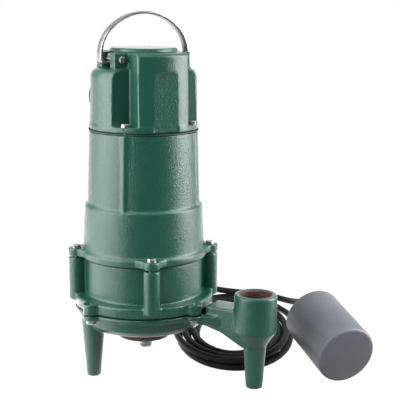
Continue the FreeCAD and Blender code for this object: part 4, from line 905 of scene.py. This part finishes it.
@dataclass
class Handle:
    """The strap hoop, whose ends turn in and wrap the bolts."""

    shop: Workshop
    eye: Pair = (0.042, 0.3964)
    eye_radius: float = 0.0049
    foot: Pair = (0.0525, 0.397)
    foot_radius: float = 0.0055
    side: Pair = (0.0135, 0.401)
    side_radius: float = 0.0445
    side_turn: float = math.radians(41.6)
    width: float = 0.0127
    thickness: float = 0.003

    def arc(self, centre: Pair, radius: float, first: float, last: float, steps: int) -> list[Vector]:
        """Points of an arc in the handle's plane, as across, 0 and height."""
        return [Vector((centre[0] + radius * math.cos(first + (last - first) * k / steps), 0.0,
                        centre[1] + radius * math.sin(first + (last - first) * k / steps)))
                for k in range(steps + 1)]

    def make(self) -> None:
        """Sweeps the strap's rounded section along its path."""
        half = [
            *self.arc(self.eye, self.eye_radius, math.radians(50), math.radians(270), 28),
            *self.arc(self.foot, self.foot_radius, -math.pi / 2, 0.0, 14),
            *self.arc(self.side, self.side_radius, 0.0, self.side_turn, 18),
        ]
        centre = self.side[1] - self.side[0] * math.tan(self.side_turn)
        radius = self.side_radius + self.side[0] / math.cos(self.side_turn)
        top = self.arc((0.0, centre), radius, self.side_turn, math.pi - self.side_turn, 56)
        mirrored = [Vector((-spot.x, 0.0, spot.z)) for spot in reversed(half)]
        path = half + top[1:-1] + mirrored
        section = self.section(self.width / 2, self.thickness / 2)
        work = ridge(path, section, lambda _: Vector((0, 1, 0)))
        bmesh.ops.transform(work, matrix=shift(PUMP_X) @ spin(CAP_TURN), verts=work.verts)
        strap = mesh_of(work, "strap")
        self.shop.piece("strap_handle", strap, STRAP, Slot.STRAP, replaces=["lifting_handle"])

    def section(self, w: float, t: float, rounding: float = 0.0011, steps: int = 4) -> list[Pair]:
        """The strap's section, with rounded corners.

        Args:
            w: Half its width.
            t: Half its thickness.
            rounding: Its corners' radius.
            steps: Steps in each corner.

        Returns:
            The section's outline.
        """
        outline = []
        for corner, (sx, sy) in enumerate(((1, 1), (-1, 1), (-1, -1), (1, -1))):
            for step in range(steps + 1):
                angle = (corner + step / steps) * math.pi / 2
                outline.append((sx * (w - rounding) + rounding * math.cos(angle),
                                sy * (t - rounding) + rounding * math.sin(angle)))
        return outline


@dataclass
class Discharge:
    """The primed bore of the discharge boss and its pipe thread."""

    shop: Workshop
    centre: Point = (0.114424, 0.0, 0.0)
    radius: float = 0.0195
    top: float = 0.117
    thread_length: float = 0.027
    pitch: float = 0.00221
    steps: int = 60

    def make(self) -> None:
        """Makes the primed lining and winds the thread's ridge inside it."""
        r, top = self.radius, self.top
        lining = [(r - 0.0002, top), (r + 0.0006, top + 0.001), (r + 0.0006, 0.065), (0.0, 0.065),
                  (0.0, 0.0657), (r - 0.0008, 0.0657)]
        place = shift(*self.centre)
        mesh = lathe(lining, place, 120)
        turns = self.thread_length / self.pitch
        wall = circle(r - 0.0002, self.steps)
        spots = [Vector((*wall[number % self.steps], top - 0.0006 - self.pitch * number / self.steps))
                 for number in range(int(turns * self.steps))]
        crest = 0.00115
        profile = [(0.0004, 0.00095), (-crest, 0.00018), (-crest, -0.00018), (0.0004, -0.00095)]
        outward = [Vector((*spot, 0.0)) for spot in circle(1.0, self.steps)]
        work = ridge(spots, profile, lambda number: outward[number % self.steps])
        bmesh.ops.transform(work, matrix=place, verts=work.verts)
        work.from_mesh(mesh)
        bpy.data.meshes.remove(mesh)
        self.shop.piece("discharge_thread", mesh_of(work, "thread"), PRIMER, Slot.PRIMER)


def relief_tree(material: bpy.types.Material) -> bpy.types.NodeTree:
    """Builds the tree that sets moulded ribs along a tapered nose.

    Args:
        material: The ribs' material.

    Returns:
        The tree, whose inputs are the nose's sizes in metres.
    """
    defaults = {"Count": 7, "Start": 0.082, "Length": 0.02, "Wide": 0.0085, "Narrow": 0.0058, "Rib": 0.0007}
    tree, graph, given = sized_tree("nose_ribs", defaults, "Ribs")
    reach = graph.math("ADD", given["Start"], given["Length"])
    start = graph.add("ShaderNodeCombineXYZ", {"Z": given["Start"]})
    end = graph.add("ShaderNodeCombineXYZ", {"Z": reach})
    line = graph.add("GeometryNodeMeshLine", {"Count": given["Count"], "Start Location": start.outputs[0],
                                              "Offset": end.outputs[0]}, mode="END_POINTS")
    loop = graph.add("GeometryNodeCurvePrimitiveCircle", {"Resolution": 48, "Radius": 1.0})
    spot = graph.add("GeometryNodeInputPosition")
    height = graph.add("ShaderNodeSeparateXYZ", {0: spot.outputs[0]})
    girth = graph.ramp(height.outputs["Z"], given["Start"], reach, (given["Wide"], given["Narrow"]))
    copies = graph.add("GeometryNodeInstanceOnPoints", {
        "Points": line.outputs[0], "Instance": loop.outputs[0], "Scale": girth})
    real = graph.add("GeometryNodeRealizeInstances", {"Geometry": copies.outputs[0]})
    section = graph.add("GeometryNodeCurvePrimitiveCircle", {"Resolution": 10, "Radius": given["Rib"]})
    swept = graph.add("GeometryNodeCurveToMesh", {0: real.outputs[0], 1: section.outputs[0]})
    painted = graph.add("GeometryNodeSetMaterial", {"Geometry": swept.outputs[0], "Material": material})
    graph.add("NodeGroupOutput", {"Ribs": painted.outputs[0]})
    return tree


@dataclass
class Glands:
    """The two cord glands on the cap's rear arm, each with a tapered, ribbed strain relief."""

    shop: Workshop
    start: float = 0.0645
    tip: float = 0.1065

    def make(self) -> None:
        """Makes both glands."""
        tree = relief_tree(self.shop.finishes.get(PLASTIC))
        for side, node in ((-1, "power_cord_gland"), (1, "float_cord_gland")):
            place = shift(PUMP_X) @ spin(CAP_TURN) @ shift(side * GLAND_OFFSET, 0.0, GLAND_HEIGHT)
            place = place @ spin(-math.pi / 2, "X")
            foot = [(0.0, -0.006), (0.0062, -0.006), (0.0062, 0.0), (0.0112, 0.0), (0.0115, 0.0006),
                    (0.0115, 0.0052), (0.011, 0.006), (0.0086, 0.0065), (0.0086, 0.0125), (0.0078, 0.0135)]
            nose = [(radius, self.start + height) for radius, height in foot]
            nose += [(0.0054, self.tip), (0.0046, self.tip + 0.0004), (0.0, self.tip + 0.0004)]
            work = bmesh.new()
            work.from_mesh(lathe(nose, Matrix.Identity(4), 64))
            nut = prism(circle(0.0112, 6), self.start + 0.006, self.start + 0.0122, Matrix.Identity(4))
            bmesh.ops.bevel(nut, geom=nut.edges[:], offset=0.0005, segments=2, affect="EDGES", profile=0.6)
            work.from_mesh(mesh_of(nut, "nut", False))
            work.from_mesh(run_tree(tree, {"Start": self.start + 0.0165, "Wide": 0.0073, "Narrow": 0.0055,
                                           "Length": self.tip - self.start - 0.0185}))
            bmesh.ops.transform(work, matrix=place, verts=work.verts)
            mesh = mesh_of(work, node)
            mesh.polygons.foreach_set("use_smooth", [True] * len(mesh.polygons))
            mesh.set_sharp_from_angle(angle=math.radians(40))
            self.shop.piece(node + "_moulding", mesh, PLASTIC, Slot.PLASTIC, replaces=[node])


@dataclass
class Cords:
    """The power cord, with its coil behind the pump, and the float's cord."""

    shop: Workshop
    radius: float = 0.0045
    power_route: tuple[Point, ...] = (
        (-0.191, 0.101, 0.322), (-0.188, 0.121, 0.268), (-0.174, 0.131, 0.19), (-0.161, 0.144, 0.11),
        (-0.16, 0.164, 0.05), (-0.153, 0.193, 0.012), (-0.136, 0.229, 0.0047), (-0.116, 0.257, 0.0047))
    tail_route: tuple[Point, ...] = (
        (-0.015, 0.315, 0.009), (0.0075, 0.303, 0.006), (0.0305, 0.287, 0.005), (0.047, 0.2674, 0.005),
        (0.063, 0.248, 0.006), (0.0805, 0.23, 0.01), (0.0972, 0.2106, 0.0143), (0.1049, 0.2014, 0.0143),
        (0.1126, 0.1922, 0.0143))
    float_route: tuple[Point, ...] = (
        (-0.169, 0.1235, 0.318), (-0.1695, 0.154, 0.258), (-0.156, 0.178, 0.182), (-0.141, 0.204, 0.106),
        (-0.133, 0.236, 0.062), (-0.116, 0.262, 0.036), (-0.092, 0.278, 0.027), (-0.063, 0.286, 0.0246),
        (-0.036, 0.293, 0.0246), (-0.009, 0.292, 0.026), (0.015, 0.283, 0.0275), (0.039, 0.266, 0.031),
        (0.063, 0.24, 0.039), (0.088, 0.203, 0.052), (0.1022, 0.1715, 0.063), (0.1108, 0.1474, 0.0703),
        (0.1256, 0.135, 0.0653), (0.1331, 0.1287, 0.0628))
    coil_centre: Pair = (0.0023, 0.162)
    coil_turn: float = math.radians(28.0)
    half_width: float = 0.0845
    half_depth: float = 0.149
    pitch: float = 0.0123
    climb: float = 0.0096
    layer_turns: int = 3
    per_turn: int = 20
    swell: float = 1.006
    clearance: float = 0.0002
    straight: float = 0.026

    def coil(self) -> list[Point]:
        """The coil's points: in along the lower layer, and out again along the upper one."""
        wide = Vector((math.cos(self.coil_turn), math.sin(self.coil_turn), 0.0))
        deep = Vector((math.sin(self.coil_turn), -math.cos(self.coil_turn), 0.0))
        spots = []
        for step in range(2 * self.layer_turns * self.per_turn + 1):
            turn = step / self.per_turn
            inward = self.pitch * min(turn, 2 * self.layer_turns - turn)
            rise = min(max((turn - self.layer_turns) * 2 + 0.5, 0.0), 1.0)
            angle = math.tau * turn
            height = self.radius + self.clearance + self.climb * rise * rise * (3 - 2 * rise)
            spot = Vector((*self.coil_centre, height))
            spot += wide * math.sin(angle) * (self.half_width - inward) * self.swell
            spot -= deep * math.cos(angle) * (self.half_depth - inward) * self.swell
            spots.append(tuple(spot))
        return spots

    def curve(self, name: str, points: Sequence[Point]) -> bpy.types.Object:
        """A round cord along one open spline.

        Args:
            name: The piece's name.
            points: The spline's control points.

        Returns:
            The curve's object.
        """
        line = bpy.data.curves.new(name, "CURVE")
        line.dimensions = "3D"
        line.resolution_u = 6
        line.bevel_depth = self.radius
        line.bevel_resolution = 5
        line.use_fill_caps = True
        spline = line.splines.new("NURBS")
        spline.points.add(len(points) - 1)
        for spot, control in zip(points, spline.points):
            control.co = (*spot, 1.0)
        spline.order_u = 3
        spline.use_endpoint_u = True
        line.materials.append(self.shop.finishes.get(JACKET))
        return placed(name, line)

    def out_of_gland(self, side: int) -> list[Point]:
        """The points in and straight out of a gland.

        Args:
            side: -1 for the power cord's gland, 1 for the float cord's.

        Returns:
            A point inside the gland's tip, one past it, and the end of the straight run.
        """
        place = shift(PUMP_X) @ spin(CAP_TURN)
        reaches = (0.093, 0.115, 0.137)
        return [tuple(place @ Vector((side * GLAND_OFFSET, reach, GLAND_HEIGHT))) for reach in reaches]

    def make(self, plug: list[object], float_pieces: list[object]) -> None:
        """Args:
            plug: The pieces at the power cord's end; not used.
            float_pieces: The pieces at the float cord's end; not used.
        """
        first = self.out_of_gland(-1)
        coil = self.coil()
        wide = Vector((math.cos(self.coil_turn), math.sin(self.coil_turn), 0.0)) * self.straight
        lead_in = tuple(Vector(coil[0]) - wide)
        lead_out = tuple(Vector(coil[-1]) + wide)
        route = [*first, *self.power_route, lead_in, *coil, lead_out, *self.tail_route]
        power = self.curve("power_cord", route)
        self.shop.settle(power, Slot.CORD, Body.PUMP,
                         ["power_cord_lead", "power_cord_coil", "power_cord_tail"])
        second = self.out_of_gland(1)
        tether = self.curve("float_tether", [*second, *self.float_route])
        self.shop.settle(tether, Slot.CORD, Body.PUMP, ["float_cord"])


@dataclass
class Float:
    """The grey float at the end of its cord, with its boot."""

    shop: Workshop
    end: Point = (0.1375, 0.125, 0.06133)
    heading: float = math.radians(-40.0)
    dip: float = math.radians(14.5)
    radius: float = 0.038
    length: float = 0.098

    def make(self) -> list[object]:
        """Makes the shell, its end cap and its boot.

        Returns:
            The pieces on the cord's end.
        """
        place = shift(*self.end) @ spin(self.heading) @ spin(math.pi / 2 + self.dip, "Y")
        r, length = self.radius, self.length
        q = r - 0.0027
        shell = [
            (r - 0.0034, 0.0, 0.0), (r, 0.0, 0.0032), (r, length, 0.0048), (0.0, length, 0.0),
            (0.0, length - 0.0025, 0.0), (r - 0.0025, length - 0.0025, 0.003), (r - 0.0025, 0.002, 0.0),
            (r - 0.0034, 0.002, 0.0)]
        lid = [
            (0.0, 0.0, 0.0), (0.012, 0.0, 0.0008), (0.0135, 0.0018, 0.0008), (q - 0.0022, 0.0018, 0.0006),
            (q - 0.0012, 0.0, 0.0006), (q, 0.0, 0.0006), (q, 0.0048, 0.0), (0.0, 0.0048, 0.0)]
        boot = [
            (0.0, -0.016, 0.0), (0.0053, -0.016, 0.0005), (0.0074, -0.0035, 0.0006), (0.0094, -0.003, 0.0007),
            (0.0094, 0.0, 0.0), (0.0, 0.0, 0.0)]
        pieces = []
        for name, node, outline, points, steps, finish, slot in (
                ("float_body", "float_shell", shell, 7, 160, FLOAT, Slot.FLOAT),
                ("float_lid", "float_end_cap", lid, 3, 128, FLOAT, Slot.FLOAT),
                ("float_boot", "float_cord_boot", boot, 3, 64, PLASTIC, Slot.PLASTIC)):
            mesh = lathe(rounded(outline, points), place, steps)
            mesh.set_sharp_from_angle(angle=math.radians(35))
            pieces.append(self.shop.piece(name, mesh, finish, slot, replaces=[node]))
        for node in ("float_switch_tube", "float_switch"):
            self.shop.dress(node, PLASTIC)
        self.shop.dress("float_switch_ball", GROUND)
        return pieces


@dataclass
class Insides:
    """What the castings hide, and the pieces whose CAD shape stays."""

    shop: Workshop
    looks: tuple[tuple[Moulded | Drawn, str], ...] = (
        (GASKET, "volute_gasket"), (PAINTED_SEAM, "housing_gasket cap_gasket"),
        (SHEETS, "stator_core rotor_core"), (COPPER, "stator_windings"), (BLACKED, "thermal_protector"),
        (ALUMINIUM, "rotor_end_rings run_capacitor"),
        (GROUND, "motor_shaft seal_spring impeller_screw"),
        (GROUND, "lower_bearing_outer_ring lower_bearing_inner_ring lower_bearing_balls"),
        (GROUND, "upper_bearing_outer_ring upper_bearing_inner_ring upper_bearing_balls"),
        (CARBON, "lower_seal_seat upper_seal_seat lower_seal_ring upper_seal_ring"),
        (PLASTIC, "terminal_block"), (BRASS, "plug_blades"))

    def make(self) -> None:
        """Dresses each of them."""
        for finish, nodes in self.looks:
            for node in nodes.split():
                self.shop.dress(node, finish)
                LOG.info("%s keeps its shape", node)


@dataclass
class Studio:
    """The pale floor, the soft lamps and the camera."""

    target: Point = (0.02, 0.0, 0.2)
    eye: Point = (0.636129, -1.099724, 0.470305)
    azimuth: float = 28.608
    elevation: float = 11.024
    roll: float = 0.52
    lens: float = 93.67
    left_bounce: Pair = (0.07, 2.1)
    right_bounce: Pair = (0.0, 1.3)
    near_bounce: float = 0.5
    rim: float = 0.25
    floor_glow: float = 1.13
    floor_share: float = 0.88
    fill: float = 0.7
    gloss: Pair = (0.06, 1.3)
    left_edge: Point = (-48.0, 0.0, 0.12)
    right_edge: Point = (15.0, 0.0, 0.15)
    behind_edge: Point = (0.0, 0.1, 0.7)
    near_edge: Point = (180.0, 0.15, 1.0)
    sky_edge: Point = (0.0, -0.2, 1.0)
    sky_steepness: float = 4.0
    sky_tint: Colour = (0.97, 1.0, 1.0)
    floor_size: float = 12.0
    floor_drop: float = 0.0003
    floor_matte: float = 0.22
    lamps: tuple[tuple[str, float, float, float, Pair, float], ...] = (
        ("left_panel", -72.0, 0.7, 1.15, (1.7, 1.5), 40.0),
        ("right_panel", 95.0, 0.7, 1.2, (0.7, 1.5), 36.0),
        ("top_panel", 5.0, 1.6, 0.5, (1.0, 0.8), 5.0))

    def seen_white(self, graph: Graph) -> bpy.types.NodeSocket:
        """1 for rays from the camera and through glass, and 0 for the light itself."""
        path = graph.add("ShaderNodeLightPath")
        total = graph.sum((path.outputs["Is Camera Ray"], 1.0), (path.outputs["Is Transmission Ray"], 1.0))
        return graph.ramp(total, 0.0, 1.0)

    def toward(self, graph: Graph, spot: str, side: float, low: float, high: float,
               out: Pair) -> bpy.types.NodeSocket:
        """A value that rises across the studio.

        Args:
            graph: The graph that it is for.
            spot: The texture coordinate that it follows.
            side: The bearing it rises towards, in degrees, from straight away from the camera to the right.
            low: Where the rise starts.
            high: Where it ends.
            out: The values at its start and end.

        Returns:
            The value's socket.
        """
        around = math.radians(self.azimuth - side)
        heading = (-math.sin(around), math.cos(around), 0.0)
        place = graph.add("ShaderNodeTexCoord").outputs[spot]
        along = graph.add("ShaderNodeVectorMath", {0: place, 1: heading}, operation="DOT_PRODUCT")
        return graph.ramp(along.outputs["Value"], low, high, out)

    def floor(self) -> None:
        """Makes a wide white floor that keeps the soft shadow."""
        work = bmesh.new()
        bmesh.ops.create_grid(work, x_segments=1, y_segments=1, size=self.floor_size)
        mesh = mesh_of(work, "floor")
        made = placed("floor", mesh)
        made.location.z = -self.floor_drop
        material = bpy.data.materials.new("white_floor")
        material.use_nodes = True
        graph = Graph(material.node_tree)
        white = self.seen_white(graph)
        glossy = graph.add("ShaderNodeLightPath").outputs["Is Glossy Ray"]
        left = self.toward(graph, "Object", *self.left_edge, self.left_bounce)
        right = self.toward(graph, "Object", *self.right_edge, self.right_bounce)
        behind = self.toward(graph, "Object", *self.behind_edge, (1.0, self.rim))
        near = self.toward(graph, "Object", *self.near_edge, (self.near_bounce, 0.0))
        bounce = graph.sum((left, behind), (right, behind), (near, 1.0))
        strength = graph.ramp(white, 0.0, 1.0, (bounce, self.floor_glow))
        matte = graph.add("ShaderNodeBsdfDiffuse", {"Color": (*[self.floor_matte] * 3, 1.0)})
        glow = graph.add("ShaderNodeEmission", {"Color": (1.0, 1.0, 1.0, 1.0), "Strength": strength})
        share = graph.sum((white, self.floor_share), (glossy, 1.0))
        both = graph.add("ShaderNodeMixShader", {0: share, 1: matte.outputs[0], 2: glow.outputs[0]})
        graph.add("ShaderNodeOutputMaterial", {"Surface": both.outputs[0]})
        mesh.materials.append(material)

    def world(self) -> None:
        """Sets a surrounding that is white to the camera, fills gently, and glosses only from behind."""
        world = bpy.data.worlds.new("studio")
        bpy.context.scene.world = world
        world.use_nodes = True
        graph = Graph(world.node_tree)
        path = graph.add("ShaderNodeLightPath")
        rise = self.toward(graph, "Generated", *self.sky_edge, (0.0, 1.0))
        steep = graph.math("POWER", rise, self.sky_steepness)
        backdrop = graph.ramp(steep, 0.0, 1.0, self.gloss)
        strength = graph.ramp(path.outputs["Is Glossy Ray"], 0.0, 1.0, (self.fill, backdrop))
        soft = graph.add("ShaderNodeBackground", {"Color": (*self.sky_tint, 1.0), "Strength": strength})
        white = graph.add("ShaderNodeBackground", {"Color": (1.0, 1.0, 1.0, 1.0), "Strength": 1.0})
        both = graph.add("ShaderNodeMixShader", {0: self.seen_white(graph), 1: soft.outputs[0],
                                                 2: white.outputs[0]})
        graph.add("ShaderNodeOutputWorld", {"Surface": both.outputs[0]})

    def lamp(self, name: str, side: float, height: float, distance: float, size: Pair, power: float) -> None:
        """Makes an area lamp that faces the pump.

        Args:
            name: The lamp's name.
            side: Its bearing from the camera's, in degrees, positive to the right.
            height: Its height.
            distance: Its distance from the pump.
            size: Its width and height.
            power: Its power in watts.
        """
        lamp = bpy.data.lights.new(name, "AREA")
        lamp.shape = "RECTANGLE"
        lamp.size, lamp.size_y = size
        lamp.energy = power
        made = placed(name, lamp)
        angle = math.radians(self.azimuth + side)
        made.location = (distance * math.sin(angle), -distance * math.cos(angle), height)
        aim = Vector(self.target) - made.location
        made.rotation_euler = aim.to_track_quat("-Z", "Y").to_euler()

    def camera(self) -> None:
        """Makes the camera of the photograph."""
        data = bpy.data.cameras.new("camera")
        data.lens = self.lens
        data.sensor_width = 36.0
        data.clip_start, data.clip_end = 0.05, 30.0
        made = placed("camera", data)
        made.location = self.eye
        around, up = math.radians(self.azimuth), math.radians(self.elevation)
        back = Vector((math.sin(around) * math.cos(up), -math.cos(around) * math.cos(up), math.sin(up)))
        made.rotation_mode = "QUATERNION"
        level = (-back).to_track_quat("-Z", "Y")
        made.rotation_quaternion = level @ spin(math.radians(self.roll)).to_quaternion()
        bpy.context.scene.camera = made

    def make(self) -> None:
        """Makes the whole studio."""
        bpy.context.scene.view_settings.view_transform = "Standard"
        self.floor()
        self.world()
        for lamp in self.lamps:
            self.lamp(*lamp)
        self.camera()


def main() -> None:
    """Builds the pump's looks in order."""
    logging.basicConfig(level=logging.INFO, format="%(message)s")
    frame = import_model()
    shop = Workshop(frame, FinishLibrary())
    Studio().make()
    castings = Castings(shop)
    castings.make()
    Fasteners(shop).make()
    Handle(shop).make()
    Discharge(shop).make()
    Glands(shop).make()
    Insides(shop).make()
    # The impeller's CAD node is on the shaft, but this piece rides on the pump and doesn't turn with it
    castings.soften("impeller", IRON, Slot.IRON, voxel=0.0009, passes=3)
    plug = castings.soften("plug_body", PLASTIC, Slot.PLASTIC, voxel=0.0008, passes=5)
    on_tether = Float(shop).make()
    Cords(shop).make([plug, "plug_blades"], on_tether)


if __name__ == "__main__":
    main()
